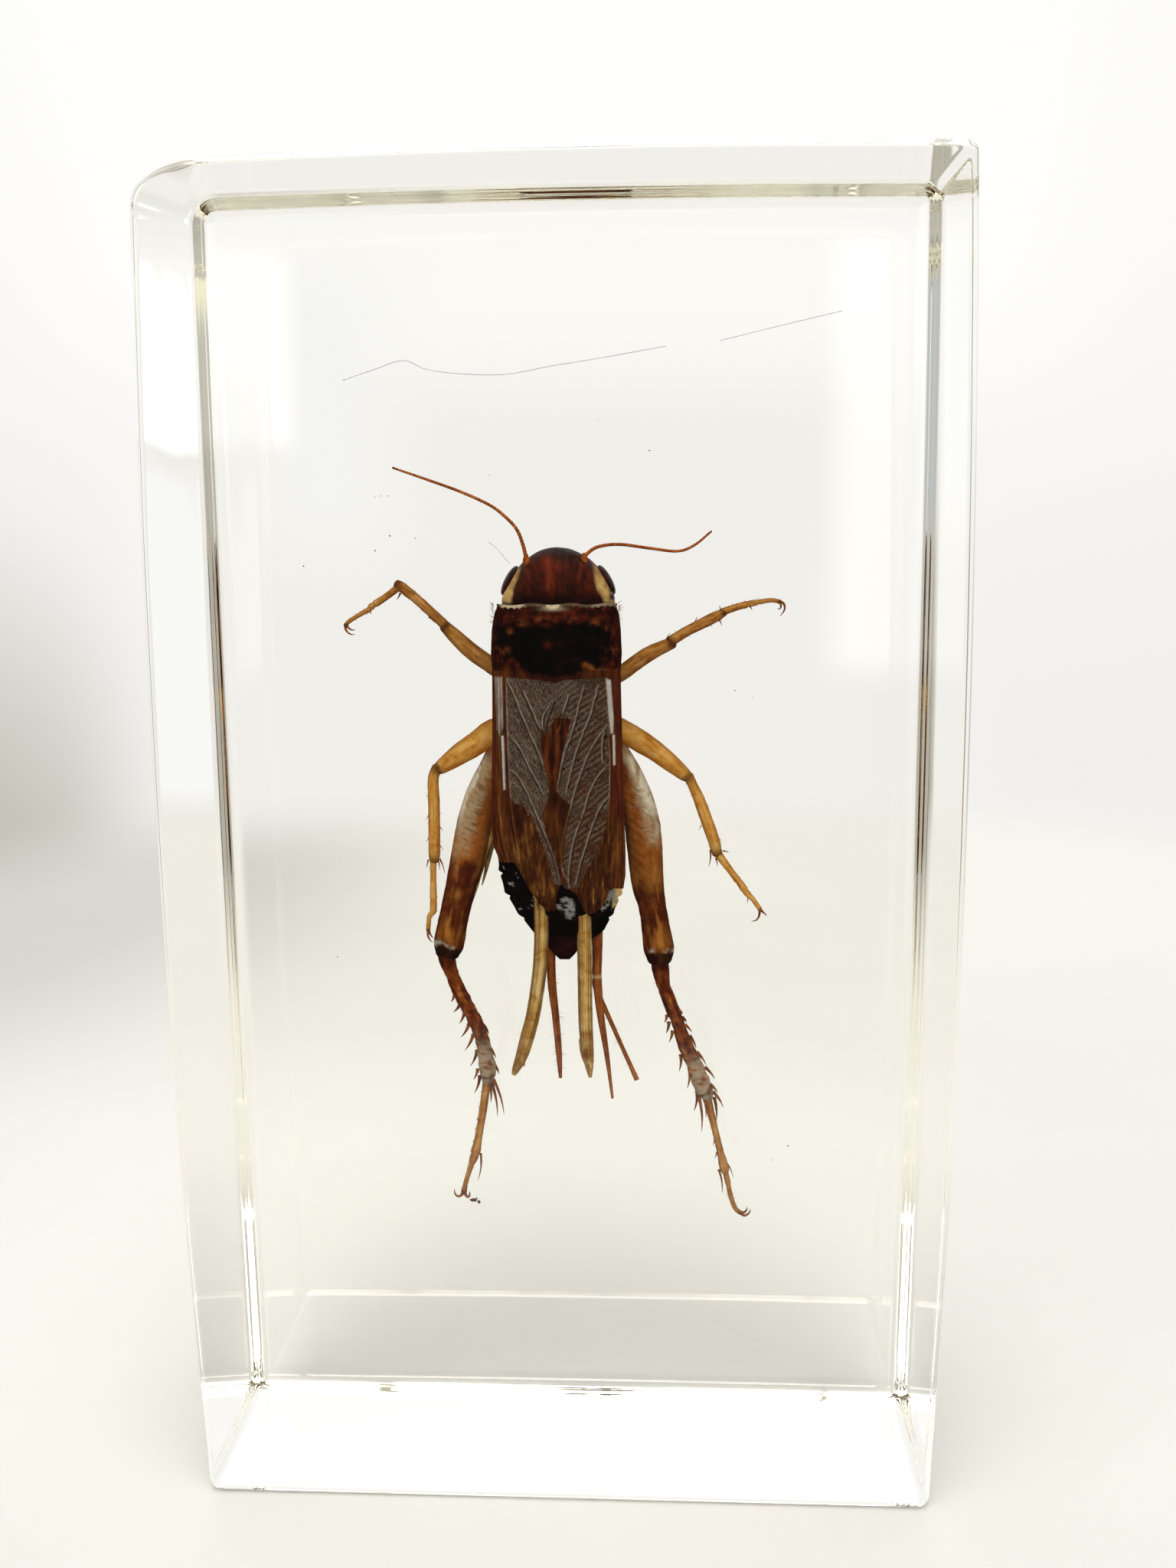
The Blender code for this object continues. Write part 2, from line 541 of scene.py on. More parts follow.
def block_outline(inset, side_bow, top_bow, top_left):
    """The casting's outline in X and Z, anticlockwise from the resting face, and each point's share of a straight side."""
    half = 0.5 * WIDTH
    radii = {k: [max(r - inset, 0.10) for r in v] for k, v in {**CORNERS, "tl": top_left}.items()}
    left, right, low, high = -half + inset, half - inset, inset, HEIGHT - inset
    points = []

    def corner(cx, cz, r, start, steps):
        for i in range(steps + 1):
            a = start + 0.5 * math.pi * i / steps
            points.append((cx + r[0] * math.cos(a), cz + r[1] * math.sin(a)))

    def arch(t, h):
        return h * (1.0 - (2.0 * t - 1.0) ** 2)

    bl, br, tr, tl = radii["bl"], radii["br"], radii["tr"], radii["tl"]
    x0, x1 = left + bl[0], right - br[0]
    for i in range(1, 24):
        points.append((x0 + (x1 - x0) * i / 24, low))
    corner(x1, low + br[1], br, -0.5 * math.pi, 12)
    z0, z1 = low + br[1], high - tr[1]
    for i in range(1, 90):
        points.append((right + arch(i / 90, side_bow), z0 + (z1 - z0) * i / 90))
    corner(right - tr[0], z1, tr, 0.0, 12)
    x0, x1 = right - tr[0], left + tl[0]
    for i in range(1, 44):
        points.append((x0 + (x1 - x0) * i / 44, high + arch(i / 44, top_bow)))
    corner(x1, high - tl[1], tl, 0.5 * math.pi, 20)
    z0, z1 = high - tl[1], low + bl[1]
    for i in range(1, 90):
        points.append((left - arch(i / 90, side_bow), z0 + (z1 - z0) * i / 90))
    corner(left + bl[0], z1, bl, math.pi, 12)
    return np.array(points)


def resin_material():
    p = Paint("clear_resin")
    haze = p.noise(0.05, 3.0, 0.5)
    rub = p.noise(1.6, 6.0, 0.7, stretch=(1, 1, 0.25))
    height = p.math("ADD", haze, p.math("MULTIPLY", rub, 0.012))
    normal = p.bump(height, 0.004, 0.6)
    roughness = p.ramp(rub, [(0.60, 0.0), (0.95, 0.05)])
    surface = p.principled(
        (1.0, 1.0, 1.0, 1.0), roughness, normal, IOR=1.52, Transmission_Weight=1.0, Specular_IOR_Level=0.5
    )
    volume = p.add("ShaderNodeVolumeAbsorption", {"Color": (0.93, 0.90, 0.50, 1.0), "Density": 4.2}).outputs[0]
    return p.finish(surface, volume)


def make_block():
    front, back = -0.5 * DEPTH, 0.5 * DEPTH
    rings = []
    steps = 10
    rings.append((front, FRONT_RADIUS + 0.06))
    for i in range(steps + 1):
        a = 0.5 * math.pi * i / steps
        rings.append((front + FRONT_RADIUS * (1 - math.cos(a)), FRONT_RADIUS * (1 - math.sin(a))))
    for i in range(1, 18):
        rings.append((front + FRONT_RADIUS + (DEPTH - FRONT_RADIUS - BACK_RADIUS) * i / 18, 0.0))
    for i in range(steps, -1, -1):
        a = 0.5 * math.pi * i / steps
        rings.append((back - BACK_RADIUS * (1 - math.cos(a)), BACK_RADIUS * (1 - math.sin(a))))
    rings.append((back, BACK_RADIUS + 0.06))
    loops = []
    centre = np.array([0.0, HEIGHT / 2])
    for y, inset in rings:
        t = (y - front) / DEPTH
        side_bow, top_bow = (b[0] + (b[1] - b[0]) * t for b in (SIDE_BOW, TOP_BOW))
        top_left = [a + (b - a) * t for a, b in zip(*TOP_LEFT)]
        points = block_outline(inset, side_bow, top_bow, top_left)
        # hand polishing leaves faint waves in the sides and the top, never in the resting face
        x, z = points[:, 0], points[:, 1]
        wave = 0.5 + 0.5 * fbm(x * 0.11, z * 0.13, y * 0.09 + 3.0, 5, 2)
        keep = smoothstep(0.8, 3.0, z)
        depth = 0.045 * wave * keep * smoothstep(0.0, 0.5, BACK_RADIUS - inset + 0.001)
        out = np.stack([np.where(np.abs(x) > WIDTH / 2 - 1.2, np.sign(x), 0.0), np.where(z > HEIGHT - 1.2, 1.0, 0.0)], axis=1)
        points = points - out * depth[:, None]
        loops.append(np.stack([points[:, 0], np.full(len(points), y), points[:, 1]], axis=1))
    n = len(loops[0])
    points = np.vstack(loops)
    faces = grid_faces(len(loops), n, wrap=True)
    faces.append(tuple(range(n)))
    faces.append(tuple(reversed(range(len(points) - n, len(points)))))
    block = write("resin_block_cast", points, faces, resin_material(), sharp=None)
    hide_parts("resin_block")
    return block


make_block()

# ------------------------------------------------------------------ body: thorax, abdomen

# half outline of the body in the front view: z, left x, right x, dorsal y, ventral y
BODY = np.array(
    [
        (51.2, -2.60, 2.20, -2.30, 2.30),
        (50.0, -3.20, 2.75, -2.70, 2.70),
        (48.5, -3.45, 2.95, -2.75, 3.00),
        (46.5, -3.45, 2.95, -2.70, 3.15),
        (44.0, -3.40, 2.90, -2.60, 3.20),
        (42.0, -3.45, 2.95, -2.55, 3.10),
        (40.0, -3.65, 3.15, -2.50, 2.95),
        (38.2, -3.90, 3.35, -2.45, 2.90),
        (36.8, -3.88, 3.44, -2.35, 2.80),
        (35.4, -3.72, 3.47, -2.20, 2.65),
        (34.4, -3.45, 3.36, -2.05, 2.50),
        (33.2, -2.76, 2.84, -1.80, 2.25),
        (32.2, -1.98, 2.32, -1.55, 1.95),
        (31.6, -1.45, 1.60, -1.35, 1.70),
        (31.1, -0.95, 0.85, -1.15, 1.45),
        (30.7, -0.62, 0.55, -0.95, 1.15),
        (30.42, -0.32, 0.26, -0.60, 0.75),
    ]
)
SEGMENTS = [43.4, 41.8, 40.2, 38.6, 37.0, 35.5, 34.1, 32.9, 31.7]


def body_ring(z, a, groove=1.0):
    lx, rx, top, low = (np.interp(-z, -BODY[:, 0], BODY[:, k]) for k in (1, 2, 3, 4))
    ca, sa = np.cos(a), np.sin(a)
    ca = np.sign(ca) * np.abs(ca) ** 0.80
    sa = np.sign(sa) * np.abs(sa) ** 0.86
    x = 0.5 * (lx + rx) + 0.5 * (rx - lx) * ca * groove
    y = 0.5 * (top + low) + 0.5 * (low - top) * sa * groove
    return x, y


def make_body():
    around, rows = 190, 400
    a = np.linspace(0, 2 * math.pi, around, endpoint=False)
    zs = 51.2 + (30.42 - 51.2) * np.linspace(0, 1, rows)
    aa, zz = np.meshgrid(a, zs)
    groove = np.ones_like(zz)
    step = np.zeros_like(zz)
    for s in SEGMENTS:
        wobble = 0.10 * noise3(np.cos(aa) * 1.3, np.sin(aa) * 1.3, s, 9)
        d = zz - (s + wobble)
        groove -= 0.050 * np.exp(-((d / 0.10) ** 2))
        groove += 0.022 * smoothstep(0.55, 0.0, d) * smoothstep(-0.02, 0.04, d)
        step = np.maximum(step, np.exp(-((d / 0.16) ** 2)))
    wrinkle = fbm(np.cos(aa) * 2.4, np.sin(aa) * 2.4, zz * 2.2, 4, 4)
    groove = groove + 0.014 * wrinkle
    # sunken sides where the back plates meet the belly plates
    side = np.exp(-(((np.abs(np.cos(aa)) - 0.97) / 0.05) ** 2)) * (np.sin(aa) > -0.2)
    groove = groove - 0.03 * side
    x, y = body_ring(zz, aa, groove)
    points = seen(x, zz, y)
    pts = points.reshape(-1, 3)
    faces = grid_faces(rows, around, wrap=True)
    faces.append(tuple(range(around)))
    faces.append(tuple(reversed(range(len(pts) - around, len(pts)))))
    belly = smoothstep(0.15, 0.75, np.sin(aa))
    # silvery sheen of air trapped on the skin: painted reflection, put into the skin as pale grey colour
    film_sheen = np.zeros_like(zz)
    top = smoothstep(0.1, -0.25, np.sin(aa))
    bx = x + 0.16 * fbm(x * 3.5, zz * 3.5, 0, 31, 4)
    bz = zz + 0.16 * fbm(x * 3.5, zz * 3.5, 9.0, 32, 4)
    for line, r in (
        ([(-2.72, 35.65), (-2.66, 35.2)], 0.10),
        ([(-3.35, 34.98), (-2.95, 34.85), (-2.72, 34.90)], 0.06),
        ([(-2.92, 34.72), (-2.80, 34.66)], 0.07),
        ([(-2.05, 34.05), (-1.95, 33.85)], 0.06),
        ([(-2.55, 33.45), (-2.15, 33.42)], 0.09),
        ([(2.35, 34.35), (2.55, 33.95), (2.45, 33.6)], 0.10),
        ([(2.75, 34.15), (2.95, 33.75)], 0.10),
        ([(2.95, 34.65), (3.10, 34.25)], 0.07),
        ([(1.95, 33.62), (2.25, 33.42), (2.65, 33.35)], 0.08),
        ([(-3.45, 35.9), (-3.35, 35.6)], 0.04),
    ):
        d, _, _ = line_distance(bx, bz, line)
        film_sheen = np.maximum(film_sheen, smoothstep(r, r * 0.45, d))
    for patch in (
        [(-0.62, 33.95), (-0.15, 34.15), (0.40, 33.95), (0.62, 33.2), (0.45, 32.75), (0.15, 32.85), (0.10, 33.35), (-0.35, 33.2)],
        [(-2.05, 33.95), (-1.75, 34.05), (-1.85, 33.45)],
        [(1.9, 33.75), (2.35, 34.45), (2.9, 34.6), (3.15, 34.2), (2.75, 33.6), (2.2, 33.3)],
    ):
        film_sheen = np.maximum(film_sheen, 0.9 * region(bx, bz, patch, 0.08))
    film_sheen = film_sheen * top * smoothstep(-0.12, 0.14, fbm(x * 2.6, zz * 3.4, 0, 8, 4) + 0.35 * fbm(x * 9.0, zz * 9.0, 1.0, 18, 2))
    cream = region(x, zz, [(3.04, 35.45), (3.62, 35.45), (3.60, 34.37), (3.13, 33.72), (2.75, 33.5), (2.80, 34.6)], 0.12) * smoothstep(0.6, 0.2, np.sin(aa))
    tip = smoothstep(32.1, 31.2, zz) * (0.5 + 0.5 * fbm(x * 2, zz * 2, y, 12, 3))
    material = chitin(
        "abdomen_skin",
        [(0.30, linear(4, 1, 1)), (0.52, linear(9, 3, 3)), (0.66, linear(32, 9, 5)), (0.80, linear(66, 26, 10))],
        blotch=0.9, grain=8.0, bump=0.03,
        masks=[
            ("belly", linear(112, 66, 30), 0.85, 1.2),
            ("joint", linear(150, 104, 56), 0.55, 2.0),
            ("tip", linear(58, 20, 9), 0.7, 2.0),
            ("cream", linear(222, 190, 120), 1.0, 2.5),
            # painted reflection of trapped air, as pale grey colour
            ("film_sheen", linear(150, 150, 144), 1.0, 3.5),
        ],
    )
    write(
        "abdomen_and_thorax", pts, faces, material,
        {"belly": belly, "joint": step * belly, "film_sheen": film_sheen, "cream": cream, "tip": tip},
        sharp=None,
    )


make_body()

# ------------------------------------------------------------------ head

HEAD_C, HEAD_R = np.array([-0.14, 0.35, 50.95]), np.array([3.02, 3.10, 2.85])
# half width of the head at each height, without the eyes
HEAD_WIDTH = smooth_line(
    [(53.80, 0.02), (53.74, 0.55), (53.58, 1.05), (53.30, 1.55), (52.95, 1.98), (52.45, 2.42), (51.9, 2.78), (51.3, 3.05), (50.7, 3.12), (50.0, 3.0), (49.2, 2.5), (48.5, 1.6), (48.10, 0.02)][::-1], 90
)


def make_head():
    rows, cols = 120, 150
    phi = np.linspace(0.0, math.pi, rows)
    th = np.linspace(0, 2 * math.pi, cols, endpoint=False)
    tt, pp = np.meshgrid(th, phi[1:-1])

    def place(tt, pp):
        dx, dy, dz = np.sin(pp) * np.cos(tt), np.sin(pp) * np.sin(tt), np.cos(pp)
        sx = np.sign(dx) * np.abs(dx) ** 0.92
        sy = np.sign(dy) * np.abs(dy) ** 0.96
        z = HEAD_C[2] + HEAD_R[2] * dz
        wide = np.interp(z, HEAD_WIDTH[:, 0], HEAD_WIDTH[:, 1])
        x = HEAD_C[0] + wide * np.sign(np.cos(tt)) * np.abs(np.cos(tt)) ** 0.92
        y = HEAD_C[1] + HEAD_R[1] * sy
        # the face narrows and slopes back to the mouth
        down = smoothstep(0.2, 1.0, dy) * smoothstep(0.6, -0.7, dz)
        x = HEAD_C[0] + (x - HEAD_C[0]) * (1 - 0.34 * down)
        z = z - 0.9 * down * smoothstep(0.4, 1.0, dy)
        # antenna pits and the ridge between them
        for side, cx in ((-1, -1.80), (1, 1.30)):
            d = np.hypot(np.hypot(x - cx, z - 53.05), y + 0.9)
            y = y + 0.16 * np.exp(-((d / 0.34) ** 2))
        return x, y, z, dx, dy, dz

    x, y, z, dx, dy, dz = place(tt, pp)
    lump = fbm(x * 1.1, y * 1.1, z * 1.1, 21, 4) * 0.035 + fbm(x * 5, y * 5, z * 5, 22, 3) * 0.012
    seam = np.exp(-((x + 0.25) / 0.05) ** 2) * smoothstep(-0.1, -0.5, dy) * smoothstep(52.3, 51.8, z)
    lump = lump - 0.03 * seam
    x, y, z = x + dx * lump, y + dy * lump, z + dz * lump
    poles = []
    for p0 in (0.001, math.pi - 0.001):
        px, py, pz, *_ = place(np.array([0.0]), np.array([p0]))
        poles.append((px[0], py[0], pz[0]))
    X = np.concatenate([x.ravel(), [q[0] for q in poles]])
    Y = np.concatenate([y.ravel(), [q[1] for q in poles]])
    Z = np.concatenate([z.ravel(), [q[2] for q in poles]])
    points = seen(X, Z, Y)
    faces = grid_faces(rows - 2, cols, wrap=True)
    top, bottom = len(points) - 2, len(points) - 1
    for c in range(cols):
        faces.append((c, (c + 1) % cols, top))
        faces.append(((rows - 3) * cols + (c + 1) % cols, (rows - 3) * cols + c, bottom))
    front = smoothstep(0.9, -0.4, Y)
    bend = 0.14 * fbm(X * 1.7, Z * 1.7, 3.0, 44, 3)
    left = region(X + bend, Z, [(-2.15, 53.0), (-2.66, 52.75), (-3.05, 52.1), (-3.30, 51.5), (-3.5, 50.8), (-2.72, 50.8), (-2.56, 51.8), (-2.16, 52.6)], 0.09)
    right = region(X + bend, Z, [(1.78, 52.95), (2.35, 52.45), (2.85, 51.7), (3.3, 50.8), (2.35, 50.8), (2.02, 51.5), (1.88, 52.2)], 0.10)
    cream = np.clip(left + right, 0, 1) * front
    cream = cream * smoothstep(-0.35, 0.10, fbm(X * 3.2, Z * 2.2, 0, 41, 4) + 0.20)
    cream = cream * (0.42 + 0.58 * smoothstep(52.7, 51.5, Z)) * (0.72 + 0.28 * smoothstep(-0.2, 0.2, fbm(X * 6.0, Z * 4.0, 0, 49, 3)))
    d1, _, _ = line_distance(X, Z, [(-0.70, 53.10), (-0.66, 52.6), (-0.62, 52.1), (-0.7, 51.6)])
    d2, _, _ = line_distance(X, Z, [(1.15, 52.95), (1.10, 52.5), (0.95, 52.0)])
    d3, _, _ = line_distance(X, Z, [(-1.85, 52.6), (-1.75, 51.9), (-1.8, 51.3)])
    streaks = np.clip(
        np.exp(-((d1 / 0.15) ** 2)) + 0.7 * np.exp(-((d2 / 0.10) ** 2)) + 0.35 * np.exp(-((d3 / 0.16) ** 2)), 0, 1
    ) * front
    radial = (0.5 + 0.5 * np.sin(np.arctan2(X + 0.2, Z - 49.5) * 46.0 + 2.0 * fbm(X, Z, 0, 5, 2))) * front * smoothstep(50.8, 52.2, Z)
    dark = np.clip(smoothstep(53.25, 53.65, Z + 0.15 * fbm(X * 1.5, Z, 0, 47, 3)) + smoothstep(51.6, 50.9, Z + 0.3 * fbm(X * 1.2, Z, 0, 48, 3)) * 0.85, 0, 1) * front
    dark = np.clip(dark + 0.8 * seam_mask(X, Z), 0, 1)
    face_side = smoothstep(0.6, 2.4, Y)
    material = chitin(
        "head_capsule",
        [(0.30, linear(18, 4, 3)), (0.46, linear(40, 10, 5)), (0.62, linear(66, 20, 7)), (0.80, linear(100, 36, 11))],
        blotch=0.8, grain=7.0, bump=0.012, rough=(0.3, 0.5), specular=0.01,
        masks=[
            ("radial", linear(112, 50, 20), 0.10, 1.5),
            ("face", linear(92, 50, 24), 0.6, 1.0),
            ("dark", linear(14, 4, 3), 0.9, 1.6),
            ("streak", linear(126, 50, 15), 0.42, 2.6),
            ("cream", linear(198, 160, 98), 0.88, 3.2),
        ],
    )
    write("head", points, faces, material,
          {"cream": cream, "streak": streaks, "dark": dark, "radial": radial, "face": face_side}, sharp=None)


def seam_mask(X, Z):
    d, _, _ = line_distance(X, Z, [(-0.25, 52.0), (-0.25, 50.8)])
    return np.exp(-((d / 0.06) ** 2))


make_head()


def make_eyes():
    p = Paint("eye_black")
    fine = p.noise(2.0, 3.0)
    cells = p.add("ShaderNodeTexVoronoi", {"Vector": p.coords, "Scale": 24000.0}, feature="F1").outputs[0]
    colour = p.ramp(fine, [(0.35, linear(14, 6, 5)), (0.65, linear(58, 22, 12))])
    normal = p.bump(cells, 0.012, 0.5)
    material = p.finish(p.principled(colour, 0.3, normal, Specular_IOR_Level=0.01))
    for name, cx, tilt, side in (("eye_left", -2.80, 0.50, -1), ("eye_right", 2.53, -0.50, 1)):
        c, s = math.cos(tilt), math.sin(tilt)
        turn = [[c, 0, s], [0, 1, 0], [-s, 0, c]]
        points, faces, d = ball((0, 0, 0), (0.28, 1.15, 0.90), 32, 44, rotate=turn)
        x, y, z = points[:, 0] + cx, points[:, 1] + 0.45, points[:, 2] + 52.02
        write(name, seen(x, z, y), faces, material, sharp=None)


make_eyes()


# ------------------------------------------------------------------ legs: materials

# the edge masks on the leg skins are partly darker edge colour and partly painted shade along the sides
LEG = chitin(
    "leg_amber",
    [(0.30, linear(136, 74, 24)), (0.40, linear(206, 144, 58)), (0.52, linear(246, 200, 106)), (0.66, linear(255, 232, 160))],
    blotch=1.1, grain=10.0, bump=0.016, streak=(11.0, 3.0),
    masks=[("edge", linear(104, 50, 17), 0.8, 0), ("ends", linear(84, 34, 12), 0.8, 1.5)], glow=0.50, glow_colour=linear(250, 192, 96),
)
LEG_DARK = chitin(
    "leg_red_brown",
    [(0.34, linear(36, 10, 5)), (0.45, linear(88, 34, 12)), (0.56, linear(146, 74, 26)), (0.68, linear(204, 138, 66))],
    blotch=1.6, grain=10.0, bump=0.018, streak=(8.0, 5.0),
    masks=[("edge", linear(56, 20, 8), 0.6, 0), ("ends", linear(38, 12, 6), 0.8, 1.5), ("pale", linear(186, 168, 140), 0.8, 2.0)], glow=0.14,
)
LEG_BROWN = chitin(
    "leg_brown",
    [(0.30, linear(104, 54, 19)), (0.41, linear(164, 104, 42)), (0.53, linear(214, 158, 80)), (0.67, linear(236, 200, 132))],
    blotch=1.1, grain=10.0, bump=0.016, streak=(11.0, 3.0),
    masks=[("edge", linear(86, 42, 16), 0.8, 0), ("ends", linear(70, 30, 12), 0.8, 1.5)], glow=0.40, glow_colour=linear(232, 164, 84),
)
THORN = chitin(
    "thorn",
    [(0.3, linear(84, 38, 16)), (0.55, linear(134, 76, 34)), (0.8, linear(182, 122, 62))],
    blotch=3.0, grain=14.0, bump=0.006,
)


def rows(line, y, thick=0.9):
    """Adds depth and thickness to (x, z, half width) rows. y is one depth for each end, or one for each row."""
    n = len(line)
    ys = np.interp(np.linspace(0, 1, n), np.linspace(0, 1, len(y)), y)
    return [(p[0], p[1], ys[i], p[2], p[2] * thick) for i, p in enumerate(line)]


def ends(along, width=0.05):
    return np.clip(np.exp(-((along / width) ** 2)) + np.exp(-(((1 - along) / width) ** 2)), 0, 1)


def limb(soup, line, y, thick=0.9, around=20, count=36, shape=None, square=2.0, rough=0.05, seed=3, width=0.06, pale=None):
    points, faces, data = tube(rows(line, y, thick), around, count, shape, square, seed=seed, rough=rough)
    soup.add(points, faces, ends=ends(data["along"], width), pale=0.0 if pale is None else pale(data["along"], data["angle"]), **data)


def thorn(soup, base, tip, y0, y1, radius=0.055, curve=0.06):
    b, t = seen(base[0], base[1], y0), seen(tip[0], tip[1], y1)
    d = t - b
    n = np.array([-d[2], 0.0, d[0]])
    n = n / max(np.linalg.norm(n), 1e-6) * curve * np.linalg.norm(d)
    points, faces, data = spike(b, t, radius, bend=n)
    soup.add(points, faces, **data)


def claw(soup, line, y, radius=0.075):
    path = smooth_line([(p[0], p[1], y) for p in line], 12)
    pts = seen(path[:, 0], path[:, 1], path[:, 2])
    t, across, depth = frames(pts)
    u = np.linspace(0, 1, len(pts))
    r = radius * (1 - u) ** 0.7 + 0.008
    a = np.linspace(0, 2 * math.pi, 8, endpoint=False)
    rings = pts[:, None, :] + across[:, None, :] * (np.cos(a)[None, :, None] * r[:, None, None]) + depth[:, None, :] * (np.sin(a)[None, :, None] * r[:, None, None])
    points = rings.reshape(-1, 3)
    faces = grid_faces(len(pts), 8, wrap=True)
    faces.append(tuple(range(8)))
    faces.append(tuple(reversed(range(len(points) - 8, len(points)))))
    soup.add(points, faces, along=np.repeat(u, 8))


def joint_shape(places, depth=0.16, width=0.018):
    """Narrow grooves round a tarsus where its parts join."""

    def shape(u, a):
        f = 1.0
        for s in places:
            f -= depth * math.exp(-(((u - s) / width) ** 2))
            f += depth * 0.5 * math.exp(-(((u - s + 0.035) / (width * 1.4)) ** 2))
        return np.full(len(a), f)

    return shape


def ribs(count, depth):
    return lambda u, a: 1.0 + depth * np.sin(a * count) * math.sin(math.pi * min(max(u, 0.0), 1.0)) ** 0.5


def bristles(soup, line, y, count, length, radius, seed, spread=1.0, lean=0.35):
    """Short hairs along both edges of a limb."""
    r = random.Random(seed)
    path = smooth_line([(p[0], p[1], p[2]) for p in line], 80)
    for _ in range(count):
        i = r.randrange(3, 77)
        x, z, w = path[i]
        dx, dz = path[i + 2][0] - path[i - 2][0], path[i + 2][1] - path[i - 2][1]
        n = math.hypot(dx, dz)
        dx, dz = dx / n, dz / n
        yy = float(np.interp(i / 79, np.linspace(0, 1, len(y)), y))
        ang = r.uniform(0, 2 * math.pi)
        out, deep = math.cos(ang), math.sin(ang)
        nx, nz = -dz * out, dx * out
        base = seen(x + nx * w * 0.9, z + nz * w * 0.9, yy + deep * w * 0.8)
        k = length * r.uniform(0.6, 1.2)
        tip = base + np.array([nx * spread + dx * lean, deep * spread, nz * spread + dz * lean]) * k
        points, faces, data = spike(base, tip, radius, around=5, count=4)
        soup.add(points, faces, **data)


# ------------------------------------------------------------------ legs: shapes

def leg(name, femur, tibia, tarsus, y, coxa, material, thorns=(), claws=(), thick=(0.9, 0.85, 0.85), joints=(0.5, 0.68),
        lower=None, femur_shape=None, tibia_shape=None, femur_pale=None, hair=40, square=2.0, femur_count=60):
    """y: depths of the body joint, the knee, the ankle and the toe."""
    lower = lower or material
    soup = Soup()
    limb(soup, femur, (y[0], y[1]), thick[0], 36, femur_count, femur_shape, square, 0.035, 3, 0.03, pale=femur_pale)
    soup.write(name + "_femur", material, sharp=None)
    soup = Soup()
    limb(soup, tibia, (y[1], y[2]), thick[1], 22, 60, tibia_shape, 2.0, 0.07, 7, 0.06)
    soup.write(name + "_tibia", lower, sharp=None)
    soup = Soup()
    limb(soup, tarsus, (y[2], y[3]), thick[2], 18, 60, joint_shape(joints), 2.0, 0.06, 11, 0.03)
    soup.write(name + "_tarsus", lower, sharp=None)
    soup = Soup()
    for base, tip, depth0, depth1, radius in thorns:
        thorn(soup, base, tip, depth0, depth1, radius)
    for line in claws:
        claw(soup, line, y[3])
    bristles(soup, tibia, (y[1], y[2]), hair, 0.20, 0.010, len(name) * 7 + hair)
    bristles(soup, tarsus, (y[2], y[3]), hair, 0.16, 0.009, len(name) * 11 + hair)
    bristles(soup, femur, (y[0], y[1]), hair, 0.14, 0.008, len(name) * 5 + hair)
    soup.write(name + "_thorns", THORN, sharp=None)
    # coxa and trochanter under the body
    soup = Soup()
    cx, cz, cy, r = coxa
    fx, fz = femur[0][0], femur[0][1]
    line = [(cx, cz, cy, r * 0.80, r * 0.75), (cx * 0.6 + fx * 0.4, cz * 0.6 + fz * 0.4, cy * 0.7 + y[0] * 0.3, r, r * 0.85),
            (fx * 0.85 + cx * 0.15, fz * 0.85 + cz * 0.15, y[0] + 0.1, r * 0.62, r * 0.6)]
    points, faces, data = tube(line, 28, 24, None, seed=5, rough=0.06)
    soup.add(points, faces, ends=ends(data["along"], 0.12), pale=0.0, **data)
    ex, ez = femur[1][0], femur[1][1]
    line = [(fx * 1.1 - ex * 0.1, fz * 1.1 - ez * 0.1, y[0] + 0.1, r * 0.55, r * 0.55), (fx * 0.6 + ex * 0.4, fz * 0.6 + ez * 0.4, y[0] + 0.02, femur[1][2] * 0.75, femur[1][2] * 0.7)]
    points, faces, data = tube(line, 20, 10, None, seed=5, rough=0.05)
    soup.add(points, faces, ends=0.6, pale=0.0, **data)
    soup.write(name + "_coxa", material, sharp=None)


def spread_depth(pairs, y, radius):
    """Thorns given as front view pairs, set a little in front of and behind the limb in turn."""
    out = []
    for i, (base, tip) in enumerate(pairs):
        k = 0.22 if i % 2 else -0.22
        out.append((base, tip, y + k * 0.6, y + k * 1.5, radius))
    return out


# fore legs
leg(
    "foreleg_left",
    [(-3.05, 46.70, 0.40), (-3.65, 47.14, 0.44), (-3.90, 47.34, 0.46), (-4.93, 48.09, 0.47), (-5.81, 48.90, 0.42), (-6.45, 49.54, 0.33)],
    [(-6.40, 49.55, 0.28), (-7.16, 50.28, 0.27), (-7.94, 51.02, 0.27), (-8.73, 51.66, 0.29), (-9.06, 51.89, 0.24)],
    [(-9.00, 51.80, 0.19), (-9.03, 51.66, 0.20), (-9.77, 51.12, 0.19), (-10.47, 50.68, 0.18), (-10.65, 50.49, 0.16), (-11.13, 50.24, 0.13), (-11.74, 49.87, 0.12), (-12.01, 49.62, 0.12)],
    (1.9, 0.9, 0.7, 0.9), (-1.55, 47.6, 2.55, 0.95), LEG_BROWN,
    thorns=[((-8.88, 51.37), (-9.11, 51.00), 0.7, 0.8, 0.06), ((-7.33, 50.05), (-7.02, 49.72), 0.7, 0.9, 0.05), ((-8.1, 51.3), (-8.3, 51.55), 0.6, 0.5, 0.045), ((-10.6, 50.45), (-10.55, 50.2), 0.8, 0.8, 0.05)],
    claws=[[(-12.01, 49.66), (-11.98, 49.36), (-11.77, 49.15), (-11.47, 49.10)], [(-11.96, 49.70), (-11.84, 49.49), (-11.63, 49.36), (-11.46, 49.40)]],
    joints=(0.47, 0.56),
)
